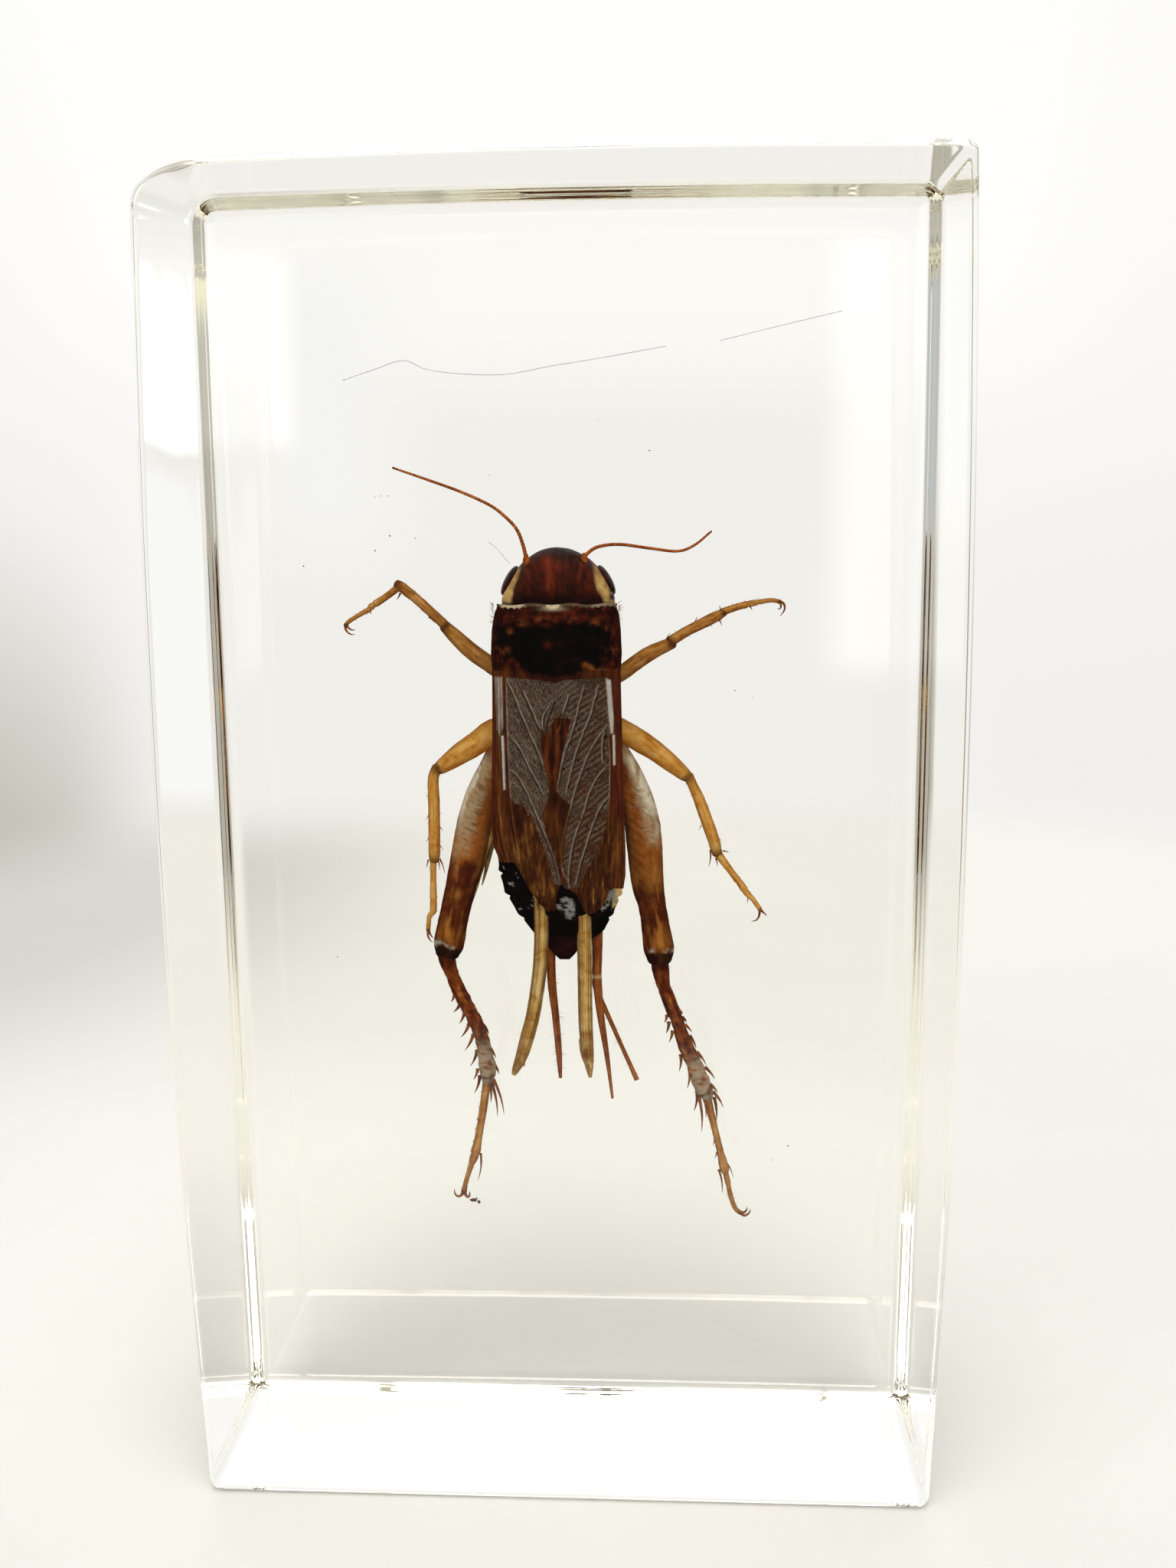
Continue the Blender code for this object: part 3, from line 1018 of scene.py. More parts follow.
leg(
    "foreleg_right",
    [(2.55, 46.40, 0.38), (2.99, 46.73, 0.42), (3.29, 46.86, 0.43), (4.65, 47.83, 0.43), (5.62, 48.33, 0.37), (6.13, 48.54, 0.32)],
    [(6.05, 48.66, 0.29), (6.97, 49.21, 0.28), (7.80, 49.62, 0.30), (8.47, 49.95, 0.30), (8.97, 50.22, 0.21)],
    [(8.90, 50.20, 0.20), (8.93, 50.24, 0.21), (9.68, 50.50, 0.19), (10.39, 50.67, 0.18), (10.93, 50.77, 0.14), (11.55, 50.85, 0.12), (12.01, 50.76, 0.11)],
    (1.9, 0.9, 0.7, 0.9), (1.10, 47.5, 2.55, 0.95), LEG_BROWN,
    thorns=[((8.63, 49.87), (8.86, 49.45), 0.7, 0.8, 0.055), ((5.79, 48.71), (6.04, 49.13), 0.9, 0.8, 0.035), ((8.8, 50.3), (8.72, 50.62), 0.7, 0.6, 0.05), ((10.38, 50.5), (10.5, 50.3), 0.8, 0.8, 0.045), ((7.4, 49.75), (7.55, 50.0), 0.7, 0.7, 0.035)],
    claws=[[(11.97, 50.81), (12.22, 50.64), (12.24, 50.31), (12.01, 49.97)], [(11.93, 50.76), (12.05, 50.60), (12.01, 50.39), (11.85, 50.39)]],
    joints=(0.46, 0.62),
)
# mid legs
leg(
    "midleg_left",
    [(-3.10, 43.75, 0.62), (-3.55, 43.68, 0.72), (-3.92, 43.58, 0.76), (-4.86, 42.97, 0.68), (-5.87, 42.32, 0.60), (-6.84, 41.66, 0.42), (-7.15, 41.50, 0.30)],
    [(-7.10, 41.60, 0.30), (-7.34, 40.94, 0.31), (-7.34, 39.51, 0.34), (-7.36, 38.07, 0.34), (-7.40, 36.62, 0.33), (-7.43, 36.22, 0.26)],
    [(-7.47, 36.30, 0.19), (-7.50, 35.06, 0.18), (-7.52, 33.89, 0.21), (-7.56, 33.25, 0.19), (-7.78, 32.93, 0.14), (-7.88, 32.12, 0.13)],
    (1.9, 1.0, 1.2, 1.3), (-1.60, 43.6, 2.6, 1.05), LEG,
    thorns=[((-7.10, 36.33), (-6.84, 35.44), 1.2, 1.1, 0.06), ((-7.76, 36.28), (-7.92, 35.80), 1.2, 1.2, 0.05), ((-7.19, 36.23), (-7.14, 35.62), 1.2, 1.3, 0.05),
            ((-7.65, 38.9), (-7.86, 38.6), 1.1, 1.1, 0.035), ((-7.66, 37.6), (-7.88, 37.3), 1.1, 1.1, 0.035), ((-7.05, 38.2), (-6.86, 37.9), 1.1, 1.1, 0.035), ((-7.07, 37.1), (-6.86, 36.8), 1.1, 1.1, 0.035), ((-7.62, 40.1), (-7.8, 39.85), 1.1, 1.1, 0.03)],
    claws=[[(-7.88, 32.16), (-7.90, 31.79), (-7.77, 31.52), (-7.60, 31.38)], [(-7.85, 32.16), (-7.76, 31.89), (-7.64, 31.70), (-7.55, 31.70)]],
    joints=(0.56, 0.75),
)
leg(
    "midleg_right",
    [(2.60, 44.05, 0.56), (3.02, 43.86, 0.62), (3.40, 43.65, 0.64), (4.34, 43.08, 0.64), (5.24, 42.48, 0.57), (6.13, 41.78, 0.50), (6.82, 41.20, 0.38), (7.05, 41.02, 0.28)],
    [(7.03, 41.09, 0.30), (7.25, 40.65, 0.28), (7.61, 39.84, 0.32), (8.03, 38.68, 0.34), (8.45, 37.50, 0.34), (8.68, 36.66, 0.30)],
    [(8.72, 36.60, 0.22), (8.77, 36.57, 0.24), (9.45, 35.64, 0.19), (10.03, 34.87, 0.20), (10.34, 34.40, 0.19), (10.65, 34.09, 0.14), (11.12, 33.42, 0.13)],
    (1.9, 1.0, 1.2, 1.3), (1.15, 43.7, 2.6, 1.05), LEG,
    thorns=[((8.29, 36.90), (8.17, 35.84), 1.2, 1.1, 0.06), ((8.98, 36.82), (9.37, 36.72), 1.2, 1.2, 0.055), ((8.58, 36.39), (8.69, 35.89), 1.2, 1.3, 0.05),
            ((7.95, 39.5), (8.15, 39.3), 1.1, 1.1, 0.035), ((8.3, 38.5), (8.52, 38.3), 1.1, 1.1, 0.035), ((8.66, 37.6), (8.9, 37.42), 1.1, 1.1, 0.035), ((7.75, 38.3), (7.6, 38.0), 1.1, 1.1, 0.03), ((10.42, 34.1), (10.38, 33.8), 1.3, 1.3, 0.04)],
    claws=[[(11.11, 33.46), (11.26, 33.29), (11.43, 33.15), (11.48, 33.02)], [(11.11, 33.42), (11.05, 33.02), (10.88, 32.79), (10.62, 32.74)]],
    joints=(0.50, 0.66),
)


def hind_shape(u, a):
    """A jumping leg's thigh: rows of shallow scale ridges on its two broad sides."""
    broad = np.abs(np.sin(a)) ** 1.5
    k = math.sin(math.pi * min(u * 1.05, 1.0)) ** 0.7
    return 1.0 + 0.030 * broad * k * np.sin(u * 150.0 + 2.6 * np.abs(np.cos(a)) * 4.0) - 0.05 * k * np.exp(-((np.sin(a) / 0.12) ** 2)) * 0.3


HIND = {}


def hind_material(side):
    base = [(0.30, linear(52, 16, 6)), (0.44, linear(108, 48, 15)), (0.57, linear(166, 94, 34)), (0.74, linear(214, 150, 72))]
    return chitin(
        "hind_femur_" + side, base, blotch=0.9, grain=9.0, bump=0.02, streak=(13.0, 4.0),
        masks=[
            ("warm", linear(180, 106, 40), 0.65, 1.8),
            ("scaly", linear(180, 158, 122), 0.85, 3.5),
            # painted reflection of trapped air
            ("bright", linear(240, 230, 204), 0.95, 4.0),
            ("scales", linear(92, 50, 24), 0.6, 1.5),
            ("deep", linear(66, 19, 7), 0.92, 2.2),
            ("golden", linear(190, 124, 50), 0.75, 2.6),
            ("crack", linear(58, 28, 14), 0.85, 0),
            # partly darker edge colour, partly painted shade along the sides
            ("edge", linear(64, 26, 10), 0.55, 0),
            ("knee", linear(20, 7, 4), 0.9, 1.8),
            ("rim", linear(190, 184, 170), 0.8, 3.0),
        ], glow=0.12, glow_colour=linear(230, 140, 50),
    )


def hind_femur(name, line, y, side):
    """side is -1 for the left leg and 1 for the right one. The masks are painted by place in the front view."""
    points, faces, data = tube(rows(line, y, 0.72), 56, 150, hind_shape, 2.0, seed=13, rough=0.03)
    # back to places in the front view
    k = (points[:, 1] - EYE[1]) / (0.0 - EYE[1])
    x = EYE[0] + (points[:, 0] - EYE[0]) / k
    z = EYE[2] + (points[:, 2] - EYE[2]) / k
    fine = smooth_line([(p[0], p[1], p[2]) for p in line], 200)
    order = np.argsort(fine[:, 1])
    cx = np.interp(z, fine[order, 1], fine[order, 0])
    hw = np.interp(z, fine[order, 1], fine[order, 2])
    out = (x - cx) / hw * side  # 1 at the outer edge, -1 at the inner edge
    n1, n2 = fbm(x * 1.6, z * 0.9, 0, 51, 4), fbm(x * 4.0, z * 3.0, 0, 52, 4)
    u = data["along"]
    facing = np.clip(-np.sin(data["angle"] * 2 * math.pi), -1, 1)
    # rows of slanting scales on the broad side, thin cracks, lengthwise streaks
    n3 = fbm(x * 2.6, z * 1.5, 3.0, 55, 4)
    runs = fbm(out * 4.0, z * 0.7, 5.0, 56, 3)
    slant = z * 3.1 + out * side * 1.1 + 1.3 * n1
    scales = smoothstep(0.55, 0.9, np.abs(np.sin(slant * math.pi))) * smoothstep(0.8, 0.3, np.abs(out - 0.1)) * smoothstep(-0.1, 0.35, n2 + 0.1) * smoothstep(0.12, 0.25, u) * smoothstep(0.62, 0.45, u)
    cracks = smoothstep(0.055, 0.015, np.abs(n3)) * smoothstep(-0.2, 0.2, n2 + 0.1) * smoothstep(0.0, 0.3, facing)
    # bright: painted reflection of air trapped on the thigh, near-white colour on its outer side
    if side < 0:
        scaly = smoothstep(0.10, 0.20, u) * smoothstep(0.60, 0.40, u + 0.16 * n1) * smoothstep(-0.35, 0.30, out + 0.35 * n1 + 0.3 * n2)
        bright = smoothstep(0.12, 0.2, u) * smoothstep(0.50, 0.36, u) * smoothstep(0.62, 0.88, out + 0.15 * n2) * smoothstep(-0.3, 0.1, n3)
        warm = smoothstep(0.05, 0.15, u) * smoothstep(0.66, 0.50, u + 0.1 * n1) * smoothstep(0.5, -0.2, out + 0.3 * n1)
        warm = np.clip(warm + 0.9 * smoothstep(0.36, 0.46, u + 0.1 * n1) * smoothstep(0.66, 0.54, u + 0.1 * n1) * smoothstep(-0.3, 0.4, out), 0, 1)
        deep = smoothstep(0.50, 0.64, u + 0.12 * n1 + 0.04 * runs) * (0.88 - 0.5 * smoothstep(0.0, 0.4, runs))
        golden = 0.35 * smoothstep(0.80, 0.88, u) * smoothstep(0.97, 0.92, u) * smoothstep(0.1, 0.6, out + runs) + 0.45 * smoothstep(0.0, 0.35, runs) * smoothstep(0.2, 0.5, u) * smoothstep(0.97, 0.9, u)
        golden = golden + 0.9 * np.exp(-(((u - 0.735) / 0.022) ** 2) - ((out - 0.1) / 0.2) ** 2)
    else:
        scaly = smoothstep(0.06, 0.16, u) * smoothstep(0.58, 0.38, u + 0.16 * n1) * smoothstep(-0.30, 0.30, out + 0.35 * n1 + 0.25 * n2)
        bright = smoothstep(0.10, 0.2, u) * smoothstep(0.52, 0.34, u + 0.08 * n1) * smoothstep(0.15, 0.65, out + 0.3 * n2) * smoothstep(-0.35, 0.05, n3)
        warm = smoothstep(0.20, 0.36, u) * smoothstep(0.70, 0.52, u + 0.1 * n1) * smoothstep(0.75, 0.0, out + 0.3 * n1) * 0.8
        deep = smoothstep(0.56, 0.67, u + 0.10 * n1) * (0.95 - 0.42 * smoothstep(0.0, 0.4, runs))
        golden = 0.6 * np.exp(-(((u - 0.64 + 0.05 * n1) / 0.045) ** 2)) + 0.4 * smoothstep(0.82, 0.90, u + 0.05 * n1) * smoothstep(0.97, 0.93, u) * smoothstep(0.0, 0.5, out + runs)
        golden = golden + 0.5 * smoothstep(0.0, 0.35, runs) * smoothstep(0.3, 0.5, u)
        for kx, kz, lx, lz in ((4.6, 40.9, 5.05, 40.5), (4.9, 40.2, 5.3, 39.7), (5.0, 39.4, 5.35, 38.9), (4.75, 39.9, 5.1, 39.5), (5.05, 38.6, 5.3, 38.2)):
            d, _, _ = line_distance(x, z, [(kx, kz), (0.5 * (kx + lx) + 0.08, 0.5 * (kz + lz)), (lx, lz)])
            cracks = np.maximum(cracks, np.exp(-((d / 0.035) ** 2)) * smoothstep(0.0, 0.3, facing))
    cracks = cracks * (0.35 + 0.65 * np.clip(scaly + bright, 0, 1))
    knee = smoothstep(0.955, 0.985, u + 0.01 * n2)
    rim = np.exp(-(((u - 0.960 + 0.022 * n2) / 0.008) ** 2)) * smoothstep(-0.1, 0.3, n3 + 0.25 * out)
    soup = Soup()
    soup.add(points, faces, scales=scales, scaly=np.clip(scaly, 0, 1), bright=np.clip(bright, 0, 1), warm=np.clip(warm, 0, 1), deep=np.clip(deep, 0, 1),
             golden=np.clip(golden, 0, 1), crack=cracks, knee=knee, rim=rim, **data)
    soup.write(name, hind_material("left" if side < 0 else "right"), sharp=None)


def hind_leg(side):
    name = "hindleg_left" if side < 0 else "hindleg_right"
    if side < 0:
        femur = [(-3.25, 44.10, 0.30), (-3.65, 42.79, 0.50), (-4.07, 41.36, 0.78), (-4.62, 39.95, 0.93), (-5.00, 38.54, 1.02), (-5.39, 36.76, 1.02), (-5.87, 34.92, 0.90), (-6.22, 33.53, 0.86), (-6.47, 32.44, 0.87), (-6.70, 31.30, 0.88), (-6.80, 30.72, 0.70)]
        tibia = [(-6.91, 30.80, 0.47), (-6.79, 30.24, 0.49), (-6.62, 29.70, 0.41), (-6.21, 28.59, 0.42), (-5.57, 27.30, 0.41), (-5.01, 26.01, 0.42), (-4.77, 24.89, 0.44), (-4.61, 23.81, 0.50), (-4.63, 23.05, 0.36)]
        tarsus = [(-4.66, 23.10, 0.24), (-4.67, 23.01, 0.25), (-4.93, 21.26, 0.23), (-5.19, 19.79, 0.22), (-5.45, 18.54, 0.27), (-5.69, 17.87, 0.18), (-6.03, 16.80, 0.14), (-6.18, 16.13, 0.18)]
        tib = [((-6.45, 28.29), (-6.67, 27.80)), ((-6.15, 27.69), (-6.56, 27.20)), ((-5.89, 27.21), (-6.23, 26.49)), ((-5.65, 26.49), (-6.16, 25.67)), ((-5.40, 25.89), (-5.97, 24.84)), ((-5.21, 24.90), (-5.65, 23.90)), ((-5.18, 23.79), (-5.48, 23.07)), ((-5.08, 23.35), (-5.45, 22.23)),
               ((-5.35, 27.5), (-5.12, 27.1)), ((-4.78, 26.4), (-4.5, 25.9)), ((-4.42, 25.0), (-4.12, 24.4)), ((-4.2, 24.0), (-3.95, 23.45))]
        spurs = [((-4.29, 23.13), (-3.70, 20.91)), ((-4.40, 22.92), (-4.10, 20.82)), ((-4.51, 22.92), (-4.48, 21.65))]
        toes = [((-5.13, 18.55), (-5.36, 16.77)), ((-4.97, 21.69), (-5.20, 21.35)), ((-5.12, 20.98), (-5.38, 20.59)), ((-5.23, 20.36), (-5.51, 19.93)), ((-5.38, 19.59), (-5.64, 19.21)), ((-5.53, 19.02), (-5.81, 18.59)), ((-5.68, 18.25), (-5.92, 17.72))]
        claws = [[(-6.18, 16.13), (-6.38, 15.88), (-6.60, 15.86), (-6.73, 16.07), (-6.74, 16.31)], [(-6.14, 16.05), (-5.96, 15.79), (-5.84, 15.94), (-5.85, 16.18)]]
    else:
        femur = [(2.75, 44.10, 0.30), (3.10, 42.78, 0.50), (3.56, 41.44, 0.78), (4.03, 40.08, 0.93), (4.41, 38.55, 1.02), (4.58, 37.05, 1.02), (4.75, 34.96, 0.93), (5.01, 33.57, 0.80), (5.18, 32.49, 0.82), (5.38, 31.10, 0.88), (5.42, 30.42, 0.70)]
        tibia = [(5.44, 30.35, 0.49), (5.49, 29.77, 0.49), (5.66, 28.90, 0.40), (6.10, 27.67, 0.40), (6.48, 26.66, 0.37), (6.81, 25.55, 0.42), (7.17, 24.77, 0.46), (7.52, 23.94, 0.47), (7.93, 22.82, 0.52), (8.20, 22.21, 0.36)]
        tarsus = [(8.12, 22.35, 0.24), (8.15, 22.21, 0.26), (8.56, 20.53, 0.20), (8.93, 18.97, 0.20), (9.16, 17.98, 0.27), (9.34, 17.27, 0.17), (9.57, 16.17, 0.14), (9.85, 15.36, 0.14), (10.15, 15.06, 0.14)]
        tib = [((5.85, 27.14), (5.69, 26.65)), ((5.95, 26.70), (5.78, 26.01)), ((6.17, 26.21), (5.94, 25.45)), ((6.64, 24.74), (6.53, 23.70)), ((7.16, 23.87), (7.00, 22.65)), ((7.58, 22.55), (7.40, 21.27)),
               ((6.58, 27.36), (6.75, 27.18)), ((6.73, 26.98), (6.99, 26.71)), ((6.89, 26.55), (7.29, 26.08)), ((7.15, 25.89), (7.53, 25.14)), ((7.57, 24.92), (8.12, 24.10)), ((8.05, 23.99), (8.62, 23.26)), ((8.36, 22.95), (8.81, 22.42)), ((8.52, 22.51), (9.13, 21.52))]
        spurs = [((7.69, 22.22), (7.85, 19.97)), ((8.58, 22.17), (8.71, 20.68)), ((8.05, 22.0), (8.1, 20.9))]
        toes = [((8.87, 17.73), (9.07, 16.21)), ((9.39, 18.08), (9.72, 17.20)), ((8.62, 19.6), (8.5, 19.2)), ((8.75, 18.8), (8.62, 18.4))]
        claws = [[(10.12, 15.08), (10.39, 14.89), (10.66, 15.04), (10.76, 15.33)], [(10.12, 15.12), (10.34, 15.08), (10.52, 15.23), (10.56, 15.42)]]
    hip, knee, ankle, toe = 1.5, 0.55, 0.95, 1.3
    hind_femur(name + "_femur", femur, (hip, knee), side)
    soup = Soup()

    def knobs(u, a):
        return np.full(len(a), 1.0 + 0.045 * math.sin(u * 74.0) * float(smoothstep(0.25, 0.4, u)) - 0.10 * math.exp(-(((u - 0.185) / 0.014) ** 2)))

    limb(soup, tibia, (knee, ankle), 0.9, 26, 110, knobs, 2.0, 0.08, 17, 0.07,
         pale=lambda u, a: smoothstep(0.58, 0.82, u + 0.08 * fbm(u * 30, a * 4, 0, 3, 2)) * smoothstep(-0.5, 0.3, fbm(u * 60, a * 9, 0, 6, 3) + 0.2))
    soup.write(name + "_tibia", LEG_DARK, sharp=None)
    soup = Soup()
    limb(soup, tarsus, (ankle, toe), 0.85, 20, 90, joint_shape((0.66, 0.76)), 2.0, 0.07, 19, 0.03)
    soup.write(name + "_tarsus", LEG_BROWN, sharp=None)
    soup = Soup()
    for t in spread_depth(tib, 0.5 * (knee + ankle), 0.115):
        thorn(soup, *t)
    for i, (b, t) in enumerate(spurs):
        thorn(soup, b, t, ankle + (0.15 if i % 2 else -0.15), ankle + (0.3 if i % 2 else -0.3), 0.11, 0.05)
    for b, t in toes:
        thorn(soup, b, t, toe - 0.1, toe, 0.075 if abs(b[1] - t[1]) > 1 else 0.05)
    for line in claws:
        claw(soup, line, toe, 0.10)
    bristles(soup, tibia, (knee, ankle), 110, 0.20, 0.010, 61 + side)
    bristles(soup, tarsus, (ankle, toe), 110, 0.17, 0.009, 71 + side)
    soup.write(name + "_thorns", THORN, sharp=None)
    soup = Soup()
    c = -0.3 + side * 1.25
    line = [(c, 42.6, 2.7, 0.9, 0.8), (c + side * 0.9, 42.9, 2.5, 1.15, 0.95), (femur[0][0], femur[0][1] - 0.5, hip + 0.2, 0.62, 0.6)]
    points, faces, data = tube(line, 30, 26, None, seed=5, rough=0.06)
    soup.add(points, faces, ends=ends(data["along"], 0.12), pale=0.0, **data)
    soup.write(name + "_coxa", LEG, sharp=None)


hind_leg(-1)
hind_leg(1)

# ------------------------------------------------------------------ pronotum


def make_pronotum():
    nrows, ncols = 150, 210
    v = np.linspace(0, 1, nrows)
    phi = np.linspace(-1.95, 1.95, ncols)
    pp, vv = np.meshgrid(phi, v)
    left = np.interp(v, [0, 0.08, 0.35, 0.65, 1.0], [-3.44, -3.64, -3.85, -3.92, -3.82])[:, None]
    right = np.interp(v, [0, 0.08, 0.35, 0.65, 1.0], [3.03, 3.17, 3.30, 3.34, 3.24])[:, None]
    ca, sa = np.cos(pp), np.sin(pp)
    sx = np.sign(sa) * np.abs(sa) ** 0.86
    cy = np.sign(ca) * np.abs(ca) ** 0.80
    x = 0.5 * (left + right) + 0.5 * (right - left) * sx
    back = np.interp(v, [0, 0.05, 0.5, 0.9, 1.0], [-3.05, -3.30, -3.50, -3.35, -3.15])[:, None]
    y = 0.6 + (0.6 - back) * -cy
    front_z = 50.72 + 0.05 * np.sin(x * 3.0) - 0.12 * smoothstep(1.6, 2.2, np.abs(pp)) * 6.0
    rear_z = 46.62 - 0.22 * np.exp(-(((x + 0.35) / 0.55) ** 2)) - 0.12 * smoothstep(2.6, 3.3, np.abs(x + 0.27)) + 0.10 * np.exp(-(((np.abs(x + 0.27) - 2.3) / 0.5) ** 2)) + 0.05 * fbm(x * 2.2, 0.0, 0.0, 2, 3)
    rear_z = rear_z + 0.5 * smoothstep(1.55, 1.95, np.abs(pp))
    z = front_z + (rear_z - front_z) * vv
    # raised rims, dents, mottled skin
    lift = 0.09 * np.exp(-((vv / 0.022) ** 2)) + 0.07 * np.exp(-(((1 - vv) / 0.022) ** 2))
    lift = lift - 0.05 * np.exp(-(((vv - 0.07) / 0.03) ** 2))
    lift = lift + 0.03 * fbm(x * 1.4, z * 1.4, y, 33, 4) + 0.010 * fbm(x * 7, z * 7, y * 7, 34, 3)
    groove = np.exp(-(((x + 0.25) / 0.05) ** 2)) * smoothstep(0.25, 0.35, vv) * smoothstep(0.95, 0.85, vv)
    lift = lift - 0.04 * groove
    for cx, cz, r in ((-1.7, 48.7, 0.7), (1.2, 48.7, 0.7), (-1.6, 47.5, 0.5), (1.1, 47.5, 0.5)):
        lift = lift - 0.05 * np.exp(-(((x - cx) / r) ** 2) - ((z - cz) / (r * 0.7)) ** 2)
    x = x + sa * lift
    y = y - ca * lift
    outer = seen(x, z, y)
    points, faces = plate(outer, 0.16)
    saw = 0.5 + 0.5 * np.sin(x * 19.0 + 2.5 * fbm(x * 3, z, 0, 3, 2))
    width = 0.030 + 0.018 * saw
    cream = smoothstep(width + 0.012, width - 0.012, vv) * (
        smoothstep(-1.9, -2.3, x) * smoothstep(-3.5, -3.2, x) + smoothstep(0.45, 0.25, np.abs(x + 0.45)) + 0.30 * smoothstep(1.5, 2.0, x) + 0.12
    )
    cream = cream + 0.8 * np.exp(-(((x + 0.45) / 0.55) ** 2) - ((z - 50.45) / 0.10) ** 2)
    cream = np.clip(cream, 0, 1) * smoothstep(0.4, 0.0, y)
    n1 = fbm(x * 1.5, z * 1.5, y * 1.5, 61, 4)
    n2 = fbm(x * 4.2, z * 4.2, y * 4.2, 62, 4)
    black = smoothstep(49.80, 49.40, z + 0.40 * n1) * smoothstep(46.62, 46.95, z + 0.18 * n1)
    wide = np.interp(z, [46.4, 46.9, 47.5, 48.1, 48.7, 49.4, 50.0], [1.1, 1.5, 2.3, 3.0, 3.15, 3.15, 2.6])
    black = black * smoothstep(0.30, -0.30, np.abs(x + 0.36) - wide + 0.75 * n1 + 0.2 * n2)
    red = np.exp(-(((x + 0.75) / 0.22) ** 2) - ((z - 48.45) / 0.22) ** 2) * 0.5
    mottle = smoothstep(0.05, 0.45, n2) * (1 - black)
    spots = np.zeros_like(x)
    x0, z0 = x, z
    x, z = x0 + 0.35 * n1, z0 + 0.30 * n2
    for cx, cz, r in ((-2.15, 49.75, 0.28), (-1.1, 49.95, 0.22), (0.65, 49.9, 0.24), (1.75, 49.8, 0.26), (2.5, 49.4, 0.2), (-2.9, 49.3, 0.22), (-3.2, 48.2, 0.3), (2.85, 48.2, 0.26), (-3.1, 47.1, 0.3), (-2.3, 46.95, 0.26)):
        spots = np.maximum(spots, np.exp(-(((x - cx) / r) ** 2) - ((z - cz) / (r * 0.7)) ** 2))
    x, z = x0, z0
    spots = spots * smoothstep(-0.4, 0.3, n2 + 0.05)
    d, _, _ = line_distance(x, z, [(1.35, 47.35), (1.9, 47.1), (2.5, 46.98), (3.1, 46.9)])
    arc = np.exp(-(((d + 0.08 * n2) / 0.16) ** 2)) * smoothstep(0.4, -0.6, y) * smoothstep(-0.5, 0.3, n1 + 0.2)
    rear = np.exp(-(((1 - vv) / 0.05) ** 2)) * 0.8
    material = chitin(
        "pronotum_skin",
        [(0.28, linear(13, 3, 2)), (0.45, linear(30, 7, 3)), (0.62, linear(56, 17, 6)), (0.80, linear(98, 38, 12))],
        blotch=1.3, grain=7.0, bump=0.02, rough=(0.3, 0.55),
        masks=[
            ("mottle", linear(112, 42, 13), 0.30, 2.0),
            ("black", linear(5, 2, 2), 1.0, 1.6),
            ("red", linear(96, 28, 14), 0.8, 2.0),
            ("spots", linear(140, 72, 30), 0.42, 2.4),
            ("rear", linear(60, 24, 12), 0.7, 2.0),
            ("arc", linear(186, 112, 40), 0.5, 2.0),
            ("cream", linear(190, 172, 140), 1.0, 3.0),
        ],
    )
    write("pronotum", points, faces, material,
          {"mottle": both(mottle), "black": both(black), "red": both(red), "spots": both(spots), "arc": both(arc), "cream": both(cream), "rear": both(rear)},
          sharp=60.0)
    soup = Soup()
    r = random.Random(5)
    for side, cx in ((-1, -3.78), (1, 3.22)):
        for _ in range(26):
            z = r.uniform(49.6, 50.8)
            yy = r.uniform(-1.6, 0.9)
            base = seen(cx - side * 0.05, z, yy)
            tip = base + np.array([side * r.uniform(0.12, 0.30), r.uniform(-0.1, 0.1), r.uniform(-0.02, 0.22)])
            soup.add(*spike(base, tip, 0.012, around=5, count=4)[:2], along=0.5)
    soup.write("pronotum_bristles", THORN, sharp=None)


make_pronotum()

# ------------------------------------------------------------------ fore wings

VEINS_LEFT = [
    [(-3.10, 46.57), (-2.65, 45.64), (-2.20, 44.39), (-1.70, 43.23), (-1.30, 42.28), (-1.05, 41.5), (-0.95, 40.9)],
    [(-2.17, 45.95), (-1.77, 45.01), (-1.32, 43.97), (-1.12, 43.65)],
    [(-2.85, 43.29), (-2.34, 42.60), (-1.83, 41.44), (-1.32, 40.49), (-0.97, 39.74)],
    [(-3.09, 41.55), (-2.57, 41.12), (-2.06, 40.17), (-1.56, 38.99), (-1.05, 37.71), (-0.54, 36.31), (-0.19, 34.90)],
    [(-3.14, 46.6), (-3.10, 44.0), (-3.08, 41.6), (-3.0, 39.9), (-2.8, 38.0), (-2.55, 36.4)],
]
VEINS_RIGHT = [
    [(-0.42, 45.42), (-0.85, 44.28), (-1.02, 43.44)],
    [(-0.70, 45.11), (-1.06, 44.49), (-1.12, 43.76)],
    [(0.41, 45.73), (-0.02, 44.48), (-0.18, 43.75), (-0.34, 43.44)],
    [(1.24, 46.25), (0.92, 45.00), (0.49, 43.44), (0.06, 42.28), (-0.27, 40.80), (-0.38, 40.27)],
    [(2.02, 46.24), (1.59, 44.58), (1.11, 43.44), (0.58, 41.86), (0.14, 40.06)],
    [(2.52, 44.01), (1.94, 43.22), (1.41, 42.28), (0.88, 40.91), (0.50, 39.63), (0.12, 38.25), (-0.11, 37.07), (-0.13, 35.77), (0.18, 35.12)],
    [(2.50, 41.75), (1.92, 41.01), (1.45, 40.06), (1.17, 39.10), (0.69, 37.82), (0.41, 36.64), (0.24, 35.23), (0.28, 34.58)],
    [(2.59, 39.95), (2.23, 39.53), (1.80, 38.68), (1.42, 37.60), (1.04, 36.42), (0.77, 35.34), (0.60, 34.69)],
    [(2.36, 43.75), (2.20, 42.70), (2.24, 41.86)],
    [(2.55, 46.4), (2.62, 44.0), (2.66, 41.6), (2.62, 39.5), (2.5, 37.8)],
]
